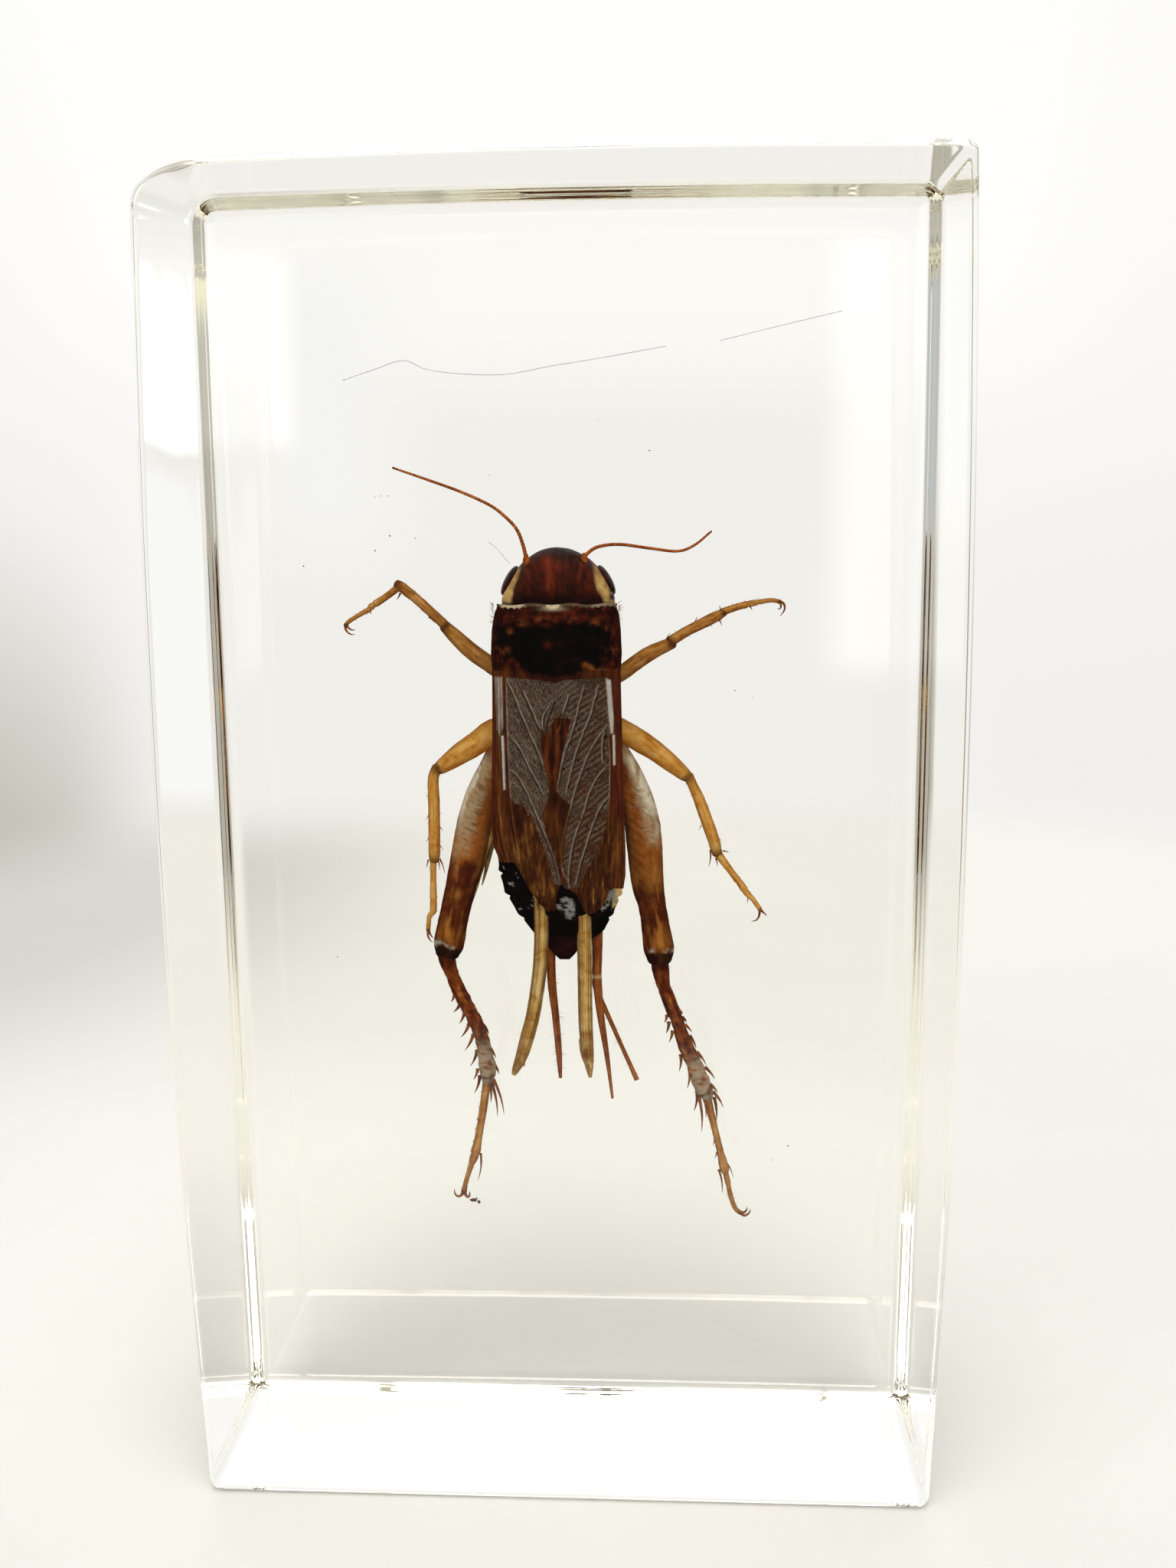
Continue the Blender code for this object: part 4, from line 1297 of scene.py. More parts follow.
# outlines of the silvery fields: painted reflection of air trapped under the wings
SILVER_SHEEN_LEFT = [(-3.11, 46.68), (-0.51, 46.41), (-0.31, 45.53), (-0.89, 44.90), (-1.20, 43.76), (-1.22, 42.50), (-0.92, 41.20), (-0.80, 40.2), (-0.97, 39.40), (-1.20, 38.80), (-0.90, 37.39), (-0.44, 36.20), (-0.17, 34.79), (-0.72, 34.90), (-1.18, 36.3), (-1.58, 37.82), (-2.03, 38.78), (-2.20, 39.35), (-2.75, 39.55), (-3.0, 39.9), (-3.06, 41.65), (-3.15, 43.76)]
SILVER_SHEEN_RIGHT = [(-0.60, 46.45), (2.45, 46.65), (2.56, 43.96), (2.66, 41.86), (2.62, 39.95), (2.34, 37.93), (1.67, 36.31), (1.24, 35.45), (0.81, 34.69), (0.23, 34.52), (-0.13, 35.66), (-0.05, 37.39), (0.42, 39.40), (0.0, 39.80), (-0.38, 40.22), (-0.04, 42.28), (0.50, 44.33), (-0.43, 44.43), (-0.91, 43.44), (-1.20, 43.76), (-0.89, 44.90), (-0.31, 45.53)]
SPOTS = [(0.96, 43.75, 0.13), (1.8, 43.6, 0.14), (1.38, 43.0, 0.15), (2.4, 43.3, 0.16), (2.5, 42.8, 0.10), (0.45, 42.9, 0.10), (0.85, 42.0, 0.12), (0.05, 41.5, 0.12), (0.5, 41.2, 0.10), (0.3, 40.5, 0.14), (1.7, 42.0, 0.10), (1.4, 41.5, 0.12), (2.2, 41.6, 0.08), (1.9, 44.7, 0.08), (1.1, 40.1, 0.10), (1.6, 39.2, 0.14), (0.9, 38.6, 0.12), (1.3, 38.2, 0.10), (0.35, 38.7, 0.10), (0.15, 37.2, 0.10), (0.8, 37.4, 0.10), (0.45, 36.0, 0.10), (2.0, 40.4, 0.10), (-2.6, 44.6, 0.06), (-2.0, 42.3, 0.07)]


def wing_masks(x, z, right_wing):
    veins = VEINS_RIGHT if right_wing else VEINS_LEFT
    ridge = np.zeros_like(x)
    dark = np.zeros_like(x)
    nearest = np.full(x.shape, 9.0)
    x0, z0 = x, z
    x = x0 + 0.035 * fbm(x0 * 3.0, z0 * 3.0, 0, 101, 3)
    # ridge is a painted highlight along each vein and dark a painted shade on one side of it; both also shape the
    # relief
    for line in veins:
        line = smooth_line(line, 26).tolist()
        d, side, run = line_distance(x, z, line)
        fade = smoothstep(0.0, 0.08, run) * smoothstep(1.0, 0.93, run)
        nearest = np.minimum(nearest, d)
        ridge = np.maximum(ridge, np.exp(-((d / 0.048) ** 2)) * (0.35 + 0.65 * fade) * (0.75 + 0.35 * fbm(x0 * 4.0, z0 * 4.0, 2.0, 103, 2)))
        shifted = np.where(side > 0, d, -d) * (1 if right_wing else -1)
        dark = np.maximum(dark, np.exp(-(((shifted - 0.075) / 0.042) ** 2)) * fade)
    x = x0
    # fine cross veins, a ladder between the main veins
    warp = 0.35 * fbm(x * 0.9, z * 0.9, 0, 71 + right_wing, 3)
    if right_wing:
        run = (z * 0.80 - x * 0.62) / 0.30 + warp * 1.3
        fine = (x * 0.95 + z * 0.30) / 0.15 + 0.8 * warp
    else:
        run = (z * 0.62 + x * 0.86) / 0.40 + warp * 3.0
        fine = (x * 0.93 - z * 0.36) / 0.155 + 1.6 * warp
    ladder = np.exp(-(((run - np.round(run)) / 0.13) ** 2)) * smoothstep(-0.35, 0.2, fbm(x * 1.7, z * 1.7, 4.0, 73, 2))
    hatch = (0.5 + 0.5 * np.cos(fine * 2 * math.pi)) ** 2
    beat = run - np.floor(run)
    cell = np.exp(-(((beat - 0.5 + 0.25 * warp) / 0.24) ** 2)) * smoothstep(0.09, 0.17, nearest) * smoothstep(-0.25, 0.15, fbm(x * 2.4, z * 2.4, 6.0, 105, 3))
    if right_wing:
        hatch = hatch * smoothstep(0.9, -0.2, x - 0.1 * z + 4.2)
        cell = cell * smoothstep(-0.2, 0.7, x - 0.1 * z + 4.2)
    else:
        cell = cell * 0.0
    low = fbm(x * 1.2, z * 1.2, 0, 75, 4)
    mid = fbm(x * 3.4, z * 2.4, 0, 76, 4)
    # silvery fields: painted reflection of trapped air, broken by spots
    if right_wing:
        silver_sheen = np.maximum(region(x, z, SILVER_SHEEN_RIGHT, 0.07), region(x, z, SILVER_SHEEN_LEFT, 0.07))
        silver_sheen = silver_sheen * (1 - 0.45 * smoothstep(0.30, 0.6, mid + 0.15 * smoothstep(42, 36, z)) * smoothstep(44.5, 38, z))
        spot = np.zeros_like(x)
        for cx, cz, r in SPOTS:
            r = r * (1 + 0.4 * mid)
            spot = np.maximum(spot, smoothstep(r, r * 0.4, np.hypot(x - cx, (z - cz) * 0.8)))
        silver_sheen = silver_sheen * (1 - 0.8 * spot)
        silver_sheen = silver_sheen * smoothstep(33.6, 35.2, z + 0.5 * mid)
    else:
        drip = 0.55 * np.abs(np.sin(x * 12.0 + 1.5 * low)) ** 0.5 + 0.5 * low - 0.1
        silver_sheen = region(x, z + 0.0, SILVER_SHEEN_LEFT, 0.06)
        cut = smoothstep(39.15, 39.45, z + drip) + smoothstep(0.13, 0.0, line_distance(x, z, [(-1.45, 38.9), (-1.05, 37.71), (-0.54, 36.31), (-0.25, 34.90)])[0] - 0.28)
        silver_sheen = silver_sheen * np.clip(cut, 0, 1)
    # the brown middle where both wings lie wet on each other
    blotch = region(x, z, [(-0.42, 44.55), (0.35, 44.42), (0.42, 43.9), (0.2, 43.2), (-0.05, 42.2), (-0.3, 41.0), (-0.42, 40.2), (-0.75, 40.0), (-0.95, 40.9), (-1.2, 42.0), (-1.15, 43.2), (-0.62, 43.4)], 0.16)
    blotch = blotch * (0.55 + 0.45 * smoothstep(-0.25, 0.15, fbm(x * 2.8, z * 1.6, 2.0, 107, 4)))
    gold = smoothstep(40.2, 37.5, z + 0.8 * low) * (0.45 + 0.55 * smoothstep(-0.25, 0.35, fbm(x * 5.0, z * 0.55, 0, 78, 4)))
    golden_stripe = np.exp(-(((x + 1.9) / 0.7) ** 2)) if not right_wing else np.exp(-(((x - 2.1) / 0.6) ** 2))
    gold = np.clip(gold * (0.65 + 0.5 * golden_stripe), 0, 1)
    streak = smoothstep(0.12, 0.5, fbm(x * 6.5, z * 0.7, 3.0, 79, 3)) * smoothstep(40.0, 38.0, z)
    brown = smoothstep(-0.05, 0.45, mid + 0.5 * smoothstep(43.0, 38.0, z) - 0.15) * (0.8 if right_wing else 0.6)
    if right_wing:
        for line in ([(-0.42, 45.30), (-0.80, 44.35), (-0.98, 43.6)], [(-0.05, 44.6), (-0.22, 44.0)]):
            d, _, _ = line_distance(x, z, line)
            dark = np.maximum(dark, np.exp(-((d / 0.075) ** 2)))
    return {"brown": brown, "cell": cell, "ridge": ridge, "dark": np.clip(dark, 0, 1), "ladder": ladder, "hatch": hatch, "silver_sheen": np.clip(silver_sheen, 0, 1),
            "blotch": blotch, "gold": gold, "streak": streak}


def wing_material(name):
    p = Paint(name)
    big = p.noise(0.9, 5.0, 0.6, stretch=(1, 1, 0.5))
    fine = p.noise(9.0, 4.0, 0.65)
    thread = p.noise(3.6, 3.0, 0.6, stretch=(1, 1, 0.16))
    base = p.ramp(p.math("ADD", p.math("MULTIPLY", big, 0.5), p.math("MULTIPLY", thread, 0.5)),
                  [(0.30, linear(26, 7, 3)), (0.45, linear(54, 21, 7)), (0.58, linear(86, 44, 14)), (0.76, linear(140, 88, 36))])
    colour = p.mix(p.math("MULTIPLY", p.attribute("gold"), 0.85), base, p.ramp(p.math("ADD", p.math("MULTIPLY", thread, 0.55), p.math("MULTIPLY", p.noise(9.0, 3.0, 0.65, stretch=(1, 1, 0.10)), 0.45)), [(0.36, linear(28, 9, 4)), (0.47, linear(72, 35, 11)), (0.56, linear(112, 68, 25)), (0.68, linear(178, 130, 64))]))
    colour = p.mix(p.math("MULTIPLY", p.attribute("streak"), 0.75), colour, linear(60, 26, 12))
    colour = p.mix(p.math("MULTIPLY", p.attribute("blotch"), 0.9), colour, p.ramp(thread, [(0.36, linear(26, 7, 4)), (0.5, linear(66, 23, 9)), (0.66, linear(112, 54, 20))]))
    # painted reflection: the silvery sheen of trapped air as pale grey-brown colour, with hatching, cells and cross
    # veins on it
    silver_sheen = p.ramp(fine, [(0.30, linear(34, 20, 13)), (0.46, linear(64, 47, 36)), (0.58, linear(88, 71, 59)), (0.74, linear(128, 112, 99))])
    silver_sheen = p.mix(p.math("MULTIPLY", p.attribute("brown"), 0.75), silver_sheen, p.ramp(fine, [(0.3, linear(50, 24, 11)), (0.7, linear(104, 66, 36))]))
    silver_sheen = p.mix(p.math("MULTIPLY", p.attribute("hatch"), 0.42), silver_sheen, p.ramp(fine, [(0.3, linear(92, 77, 64)), (0.7, linear(158, 143, 128))]))
    silver_sheen = p.mix(p.math("MULTIPLY", p.attribute("cell"), 0.80), silver_sheen, p.ramp(fine, [(0.3, linear(44, 22, 12)), (0.7, linear(86, 56, 36))]))
    silver_sheen = p.mix(p.math("MULTIPLY", p.attribute("ladder"), 0.42), silver_sheen, linear(146, 128, 110))
    edge = p.math("MULTIPLY_ADD", p.noise(4.5, 4.0, 0.65), 1.2)
    edge.node.inputs[2].default_value = -0.6
    mask = p.attribute("silver_sheen")
    mask = p.math("ADD", mask, p.math("MULTIPLY", edge, mask), clamp=True)
    mask = p.ramp(mask, [(0.30, 0.0), (0.62, 1.0)])
    colour = p.mix(mask, colour, silver_sheen)
    # painted highlight along the vein ridges, then painted shade beside them
    light = p.mix(mask, linear(134, 80, 32), linear(182, 166, 148))
    colour = p.mix(p.math("MULTIPLY", p.attribute("ridge"), 0.75), colour, light)
    colour = p.mix(p.math("MULTIPLY", p.attribute("dark"), 0.95), colour, linear(34, 10, 5))
    colour = p.mix(p.math("MULTIPLY", p.attribute("red"), 0.9), colour, p.ramp(thread, [(0.35, linear(58, 16, 9)), (0.7, linear(104, 44, 20))]))
    # painted reflection of trapped air by the fold, as near-white colour
    colour = p.mix(p.attribute("white"), colour, p.ramp(fine, [(0.3, linear(172, 164, 152)), (0.7, linear(234, 229, 218))]))
    roughness = p.ramp(fine, [(0.3, 0.38), (0.7, 0.62)])
    height = p.math("ADD", fine, p.math("MULTIPLY", p.attribute("hatch"), 0.5))
    normal = p.bump(height, 0.018)
    surface = p.principled(colour, roughness, normal, Specular_IOR_Level=0.0)
    through = p.add("ShaderNodeBsdfTranslucent", {"Color": colour, "Normal": normal})
    surface = p.add("ShaderNodeMixShader", {0: 0.15, 1: surface, 2: through.outputs[0]}).outputs[0]
    return p.finish(surface)


def top_depth(x, z, lift):
    """Depth of the flat back of the wings."""
    mid = np.interp(z, [30, 33.2, 35, 38, 42, 46.7], [-1.95, -2.15, -2.45, -2.72, -2.86, -2.98])
    return mid + 0.028 * (x + 0.3) ** 2 * smoothstep(48, 30, z) * 1.2 + 0.012 * (x + 0.3) ** 2 - lift


def make_wing(right_wing):
    name = "forewing_right" if right_wing else "forewing_left"
    nrows, ntop, nside = 330, 110, 34
    v = np.linspace(0, 1, nrows)
    s = np.linspace(0, 1, ntop)
    sgn = 1 if right_wing else -1
    if right_wing:
        zi = [33.0, 34.5, 34.8, 36.2, 38.0, 40.0, 42.0, 44.0, 47.0]
        xi = [0.35, 0.15, -0.08, -0.55, -0.92, -1.05, -1.12, -1.20, -0.80]
        zo, xo = [33.0, 34.0, 36.0, 38.0, 42.0, 47.0], [2.35, 2.55, 2.74, 2.78, 2.80, 2.74]
        end_s, end_z = [0, 0.12, 0.20, 0.32, 0.42, 0.62, 0.80, 0.92, 1.0], [34.55, 34.45, 34.3, 33.6, 33.15, 33.1, 33.35, 33.8, 34.6]
        lift = 0.16
    else:
        zi = [33.0, 34.8, 36.0, 40.0, 47.0]
        xi = [0.45, 0.55, 0.6, 0.6, 0.6]
        zo, xo = [33.0, 34.0, 35.0, 36.2, 38.0, 42.0, 47.0], [-1.95, -2.12, -2.45, -2.85, -3.22, -3.28, -3.26]
        end_s, end_z = [0, 0.28, 0.34, 0.42, 0.55, 0.66, 0.78, 0.90, 1.0], [34.6, 34.75, 34.3, 33.3, 33.25, 33.5, 33.75, 34.6, 36.1]
        lift = 0.0
    zend = np.interp(s, end_s, end_z) + 0.10 * fbm(s * 22.0, 0.0, 0.0, 91 + right_wing, 3)
    z0 = 47.05
    zz = z0 + (zend[None, :] - z0) * v[:, None]
    x_in, x_out = np.interp(zz, zi, xi), np.interp(zz, zo, xo)
    x_in = x_in + 0.03 * fbm(zz * 1.6, 0.0, 0.0, 95, 3)
    xx = x_in + (x_out - x_in) * s[None, :]
    masks = wing_masks(xx, zz, right_wing)
    relief = 0.060 * masks["ridge"] - 0.020 * masks["dark"] + 0.014 * masks["ladder"] + 0.007 * masks["hatch"] * masks["silver_sheen"]
    relief = relief + 0.05 * fbm(xx * 0.8, zz * 0.6, 0, 81, 3) + 0.010 * fbm(xx * 7, zz * 7, 0, 82, 3)
    sag = 0.06 * smoothstep(36.5, 33.5, zz) * fbm(xx * 2.0, zz * 0.6, 0, 83, 3)
    yy = top_depth(xx, zz, lift) - relief - sag
    # the side of the wing folds down along the flank
    q = np.linspace(0, 1, nside + 1)[1:]
    zs = zz[:, -1:]
    zside = np.repeat(zs, nside, axis=1)
    outer_z = [33.0, 34.4, 35.4, 37.0, 38.2, 42.7, 47.0]
    outer_x = [2.9, 3.3, 3.46, 3.47, 3.42, 3.32, 3.24] if right_wing else [-2.4, -2.9, -3.3, -3.95, -4.08, -3.92, -3.84]
    x_edge = np.interp(zside, outer_z, outer_x)
    x_fold = np.repeat(xx[:, -1:], nside, axis=1)
    y_fold = np.repeat(yy[:, -1:], nside, axis=1)
    deep = np.interp(zside, [33, 35, 38, 41, 47], [0.5, 1.0, 2.2, 3.1, 3.4])
    if not right_wing:
        deep = deep * np.interp(zside, [35.5, 37.5], [0.35, 1.0])
    qa = q[None, :]
    xs = x_fold + (x_edge - x_fold) * np.sin(np.minimum(qa * 1.5, 1.0) * math.pi / 2) ** 0.9
    ys = y_fold + deep * (0.18 * qa + 0.82 * qa**1.7)
    side_ridge = np.zeros_like(xs)
    for place in (0.0, 0.16, 0.30, 0.46, 0.64, 0.82):
        side_ridge = np.maximum(side_ridge, np.exp(-(((qa - place) / 0.028) ** 2)) * np.ones_like(xs))
    xs = xs + sgn * 0.035 * side_ridge
    ys = ys + 0.02 * fbm(xs * 3, zside * 0.8, qa * 4, 84, 3)
    X, Y, Z = np.hstack([xx, xs]), np.hstack([yy, ys]), np.hstack([zz, zside])
    outer = seen(X, Z, Y)
    points, faces = plate(outer, 0.06)
    pad = lambda grid, fill=0.0: np.hstack([grid, np.broadcast_to(fill, xs.shape)])
    n = fbm(Z * 1.1, X * 6.0, 2.0, 86, 3)
    white = np.zeros_like(X)
    red = np.zeros_like(X)
    Q = np.hstack([np.zeros_like(xx), np.repeat(qa, nrows, axis=0)])
    top_part = Q == 0
    if right_wing:
        # white stripe near the fold and a thin bright line further down, painted reflection of trapped air as
        # near-white colour; dark red side
        white = np.maximum(white, region(X, Z, [(2.46, 46.6), (2.72, 46.5), (2.86, 44.4), (2.84, 43.55), (2.70, 43.5), (2.60, 44.4)], 0.05) * 0.9)
        white = np.maximum(white, region(X, Z, [(2.80, 43.45), (2.93, 43.45), (2.95, 41.75), (2.84, 41.7)], 0.03))
        red = np.maximum(red, smoothstep(2.66, 2.76, X) * smoothstep(38.0, 39.2, Z + 0.3 * n) * 0.95)
        red = np.maximum(red, 0.7 * smoothstep(2.72, 2.82, X) * smoothstep(0.05, 0.35, n))
    else:
        # near-white streaks by the fold: painted reflection of trapped air
        white = np.maximum(white, region(X, Z, [(-3.72, 46.7), (-3.32, 46.7), (-3.33, 43.9), (-3.50, 43.3), (-3.66, 43.8)], 0.06) * (0.55 + 0.2 * n))
        white = white * (0.30 + 0.70 * smoothstep(0.25, 0.7, 0.5 + 0.5 * np.sin((X + 0.02 * n) * 2 * math.pi / 0.17 + 0.6)))
        white = np.maximum(white, region(X, Z, [(-3.44, 43.4), (-3.30, 43.4), (-3.26, 40.35), (-3.37, 40.3)], 0.03))
        d, _, _ = line_distance(X, Z, [(-3.20, 46.7), (-3.17, 43.5), (-3.14, 41.0), (-3.10, 39.4)])
        red = np.maximum(red, np.exp(-((d / 0.055) ** 2)) * 0.95)
        red = np.maximum(red, smoothstep(-3.68, -3.80, X) * 0.9)
        red = np.maximum(red, smoothstep(-3.30, -3.40, X) * smoothstep(43.6, 42.6, Z) * smoothstep(-3.55, -3.45, X) * 0.5)
    red = red * (1 - white)
    data = {k: both(pad(m)) for k, m in masks.items()}
    # the fold ridges on the side get the same painted highlight
    data["ridge"] = both(np.hstack([masks["ridge"], side_ridge * 0.7]))
    data["gold"] = both(np.hstack([masks["gold"], np.clip(0.45 + 0.5 * n[:, ntop:], 0, 1)]))
    data["white"], data["red"] = both(np.clip(white, 0, 1)), both(np.clip(red, 0, 1))
    write(name, points, faces, wing_material(name + "_membrane"), data, sharp=60.0)


make_wing(False)
make_wing(True)

# ------------------------------------------------------------------ hind wing tips, cerci, ovipositor

STRAW_SKIN = chitin(
    "hind_wing_tip",
    [(0.38, linear(92, 48, 14)), (0.45, linear(168, 114, 44)), (0.52, linear(224, 180, 98)), (0.62, linear(252, 226, 164))],
    blotch=1.0, grain=10.0, bump=0.02, streak=(20.0, 1.4),
    # edge: partly darker edge colour, partly painted shade along the sides
    masks=[("edge", linear(96, 56, 20), 0.8, 0), ("bands", linear(150, 106, 54), 0.5, 1.0), ("brown", linear(96, 50, 22), 0.85, 1.6)],
    glow=0.15, glow_colour=linear(252, 216, 138),
)
ROD_SKIN = chitin(
    "rod_skin",
    [(0.28, linear(78, 32, 12)), (0.46, linear(136, 70, 27)), (0.62, linear(176, 104, 46)), (0.80, linear(208, 142, 74))],
    blotch=1.2, grain=12.0, bump=0.012, streak=(8.0, 5.0),
    # edge: partly darker edge colour, partly painted shade along the sides
    masks=[("edge", linear(80, 36, 16), 0.6, 0), ("pale", linear(206, 180, 130), 0.9, 0)], glow=0.10,
)


def tail(name, line, y, seed, brown=None, second=None):
    def pleats(u, a):
        return 1.0 + 0.10 * np.cos(a * 7.0) * (0.4 + 0.6 * np.abs(np.sin(a)))

    soup = Soup()
    points, faces, data = tube([(p[0], p[1], y(i / (len(line) - 1)), p[2], max(p[2] * 0.42, 0.05)) for i, p in enumerate(line)], 44, 150, pleats, seed=seed, rough=0.03)
    u = data["along"]
    bands = smoothstep(0.2, 0.8, np.abs(np.sin(u * 34 + 1.2 * fbm(u * 7, 0, 0, seed, 2)))) * smoothstep(0.35, 0.5, u)
    b = np.zeros_like(u) if brown is None else brown(u, data["angle"])
    soup.add(points, faces, bands=bands, brown=b, **data)
    if second:
        points, faces, data = tube([(p[0], p[1], y(1.0) + 0.12, p[2], max(p[2] * 0.4, 0.04)) for p in second], 24, 50, pleats, seed=seed + 1)
        soup.add(points, faces, bands=0.2, brown=0.0, **data)
    # thin strips folded on each other
    for k, (offset, wide, shift) in enumerate(((-0.62, 0.16, 0.0), (0.05, 0.20, 0.03), (0.66, 0.14, -0.02))):
        strip = []
        for i, p in enumerate(line[1:-1], 1):
            t = i / (len(line) - 1)
            sway = 0.12 * math.sin(3.0 * t + seed + 2.1 * k)
            strip.append((p[0] + (offset + sway) * p[2] * 0.85, p[1] + 0.25 * k - 0.2, y(t) - 0.42 * p[2] * 0.9 - shift, wide * (0.55 + 0.45 * math.sin(math.pi * t)), 0.07))
        points, faces, data = tube(strip, 14, 90, None, seed=seed + 10 + k, rough=0.05)
        soup.add(points, faces, bands=0.3 if k == 1 else 0.0, brown=(0.5, 0.0, 0.25)[k], **data)
    soup.write(name, STRAW_SKIN, sharp=None)


tail(
    "hindwing_tip_left",
    [(-1.42, 35.2, 0.40), (-1.40, 33.95, 0.40), (-1.32, 33.18, 0.41), (-1.37, 31.0, 0.41), (-1.53, 29.31, 0.40), (-1.87, 27.19, 0.40), (-2.30, 25.55, 0.40), (-2.62, 24.50, 0.34), (-2.93, 23.80, 0.24), (-3.09, 23.42, 0.13)],
    lambda t: -1.75 + 1.1 * t, 5,
    brown=lambda u, a: smoothstep(0.12, 0.2, u) * smoothstep(0.62, 0.5, u) * smoothstep(0.55, 0.9, -np.cos(a * 2 * math.pi)),
    second=[(-2.2, 25.8, 0.30), (-2.42, 24.9, 0.26), (-2.5, 24.3, 0.14), (-2.48, 23.95, 0.04)],
)
tail(
    "hindwing_tip_right",
    [(1.05, 35.2, 0.40), (1.08, 33.96, 0.40), (1.12, 32.78, 0.41), (1.13, 29.74, 0.41), (1.15, 26.66, 0.40), (1.24, 25.03, 0.36), (1.33, 24.10, 0.26), (1.38, 23.31, 0.10)],
    lambda t: -1.75 + 1.1 * t, 6,
    brown=lambda u, a: smoothstep(0.30, 0.12, u) * smoothstep(-0.1, 0.4, fbm(a * 12, u * 5, 0, 9, 3) + 0.25),
    second=[(1.0, 25.6, 0.26), (1.02, 24.8, 0.20), (1.04, 24.2, 0.04)],
)


def make_side_strips():
    """Folded edges of the hind wing that stick out between the body and the left thigh."""
    soup = Soup()
    for k, (line, y) in enumerate((
        ([(-3.75, 39.2, 0.10), (-4.05, 38.1, 0.20), (-4.38, 37.0, 0.22), (-4.72, 35.9, 0.18), (-5.05, 34.7, 0.12), (-5.32, 33.7, 0.03)], 0.9),
        ([(-3.70, 38.6, 0.08), (-3.98, 37.5, 0.14), (-4.25, 36.5, 0.14), (-4.50, 35.5, 0.09), (-4.70, 34.8, 0.03)], 1.3),
        ([(3.50, 38.6, 0.06), (3.72, 37.4, 0.10), (3.86, 36.2, 0.08), (3.92, 35.2, 0.03)], 1.2),
    )):
        points, faces, data = tube([(p[0], p[1], y, p[2], 0.05) for p in line], 16, 90, lambda u, a: 1.0 + 0.12 * np.cos(a * 5.0), seed=31 + k, rough=0.06)
        u = data["along"]
        soup.add(points, faces, bands=0.0, brown=np.clip(0.9 * smoothstep(0.1, 0.5, fbm(u * 4, data["angle"] * 6, k, 37, 3)) + 0.4 * (k > 0), 0, 1), **data)
    soup.write("hindwing_edges", STRAW_SKIN, sharp=None)


make_side_strips()


def rod(name, line, y, seed, pale=None, around=20, shape=None, hair=0, round_end=True):
    soup = Soup()
    n = len(line)
    points, faces, data = tube([(p[0], p[1], y(i / (n - 1)), p[2], p[2] * 0.9) for i, p in enumerate(line)], around, 110, shape, seed=seed, rough=0.05, end_round=round_end)
    soup.add(points, faces, pale=np.zeros(len(points)) if pale is None else pale(data["along"]), **data)
    if hair:
        flat = [(p[0], p[1], p[2]) for p in line]
        ys = [y(i / (n - 1)) for i in range(n)]
        bristles(soup, flat, ys, hair, 0.34, 0.008, seed + 5, lean=0.5)
    for key in ("edge", "angle"):
        soup.data[key] += [0.0] * (len(soup.points) - len(soup.data[key]))
    soup.write(name, ROD_SKIN, sharp=None)


rod("cercus_left", [(-1.0, 32.8, 0.34), (-0.92, 31.82, 0.33), (-0.84, 30.96, 0.28), (-0.78, 28.90, 0.25), (-0.58, 26.88, 0.21), (-0.43, 24.79, 0.18), (-0.36, 23.29, 0.10)], lambda t: 0.2 - 0.3 * t, 7, hair=120)
rod("cercus_right", [(1.72, 29.6, 0.15), (1.74, 28.74, 0.16), (2.17, 27.73, 0.14), (2.87, 26.07, 0.13), (3.66, 24.22, 0.13), (4.10, 23.20, 0.15)], lambda t: 0.5 + 0.2 * t, 8, hair=40, round_end=False)
rod("ovipositor", [(1.86, 33.5, 0.36), (1.86, 32.20, 0.34), (1.84, 30.4, 0.30), (1.83, 29.33, 0.28), (1.99, 27.31, 0.23), (2.37, 24.58, 0.15), (2.67, 22.05, 0.08)], lambda t: 0.1 - 0.4 * t, 9,
    pale=lambda u: np.exp(-(((u - 0.355) / 0.008) ** 2)), shape=lambda u, a: 1.0 - 0.10 * np.exp(-((np.sin(a)) / 0.16) ** 2))

# ------------------------------------------------------------------ antennae

ANTENNA = chitin(
    "antenna_skin",
    [(0.3, linear(104, 42, 14)), (0.5, linear(152, 78, 30)), (0.75, linear(192, 116, 54))],
    # edge: partly darker edge colour, partly painted shade along the sides
    blotch=3.0, grain=16.0, bump=0.006, masks=[("edge", linear(70, 28, 13), 0.5, 0)],
)


def antenna(name, line, y0, y1):
    soup = Soup()
    n = len(line)
    data_rows = [(p[0], p[1], y0 + (y1 - y0) * (i / (n - 1)) ** 0.8, p[2], p[2]) for i, p in enumerate(line)]
    count = 240
    points, faces, data = tube(data_rows, 10, count, lambda u, a: np.full(len(a), 1.0 + 0.10 * math.sin(u * 95 * 2 * math.pi / 2.0)), seed=4)
    soup.add(points, faces, **data)
    # scape and pedicel
    x, z = line[0][0], line[0][1]
    side = -1 if x < 0 else 1
    points, faces, data = tube([(x - side * 0.10, z - 0.42, y0 + 0.15, 0.20, 0.20), (x - side * 0.03, z - 0.16, y0 + 0.03, 0.23, 0.22), (x, z + 0.05, y0, 0.19, 0.18)], 18, 14, None)
    soup.add(points, faces, **data)
    points, faces, data = tube([(x, z + 0.05, y0, 0.14, 0.14), (x + side * 0.03, z + 0.26, y0, 0.13, 0.13)], 14, 8, None)
    soup.add(points, faces, **data)
    soup.write(name, ANTENNA, sharp=None)


antenna("antenna_left", [(-1.86, 53.15, 0.11), (-2.03, 53.94, 0.10), (-2.35, 54.77, 0.092), (-2.93, 55.43, 0.088), (-3.79, 56.09, 0.084), (-5.33, 56.81, 0.080), (-7.15, 57.48, 0.074), (-9.06, 58.15, 0.058)], -0.9, 0.6)
antenna("antenna_right", [(1.30, 53.15, 0.11), (1.53, 53.49, 0.10), (2.12, 53.82, 0.092), (3.25, 53.93, 0.088), (4.91, 53.71, 0.083), (6.41, 53.54, 0.078), (7.33, 53.86, 0.072), (8.24, 54.59, 0.056)], -0.9, 0.4)
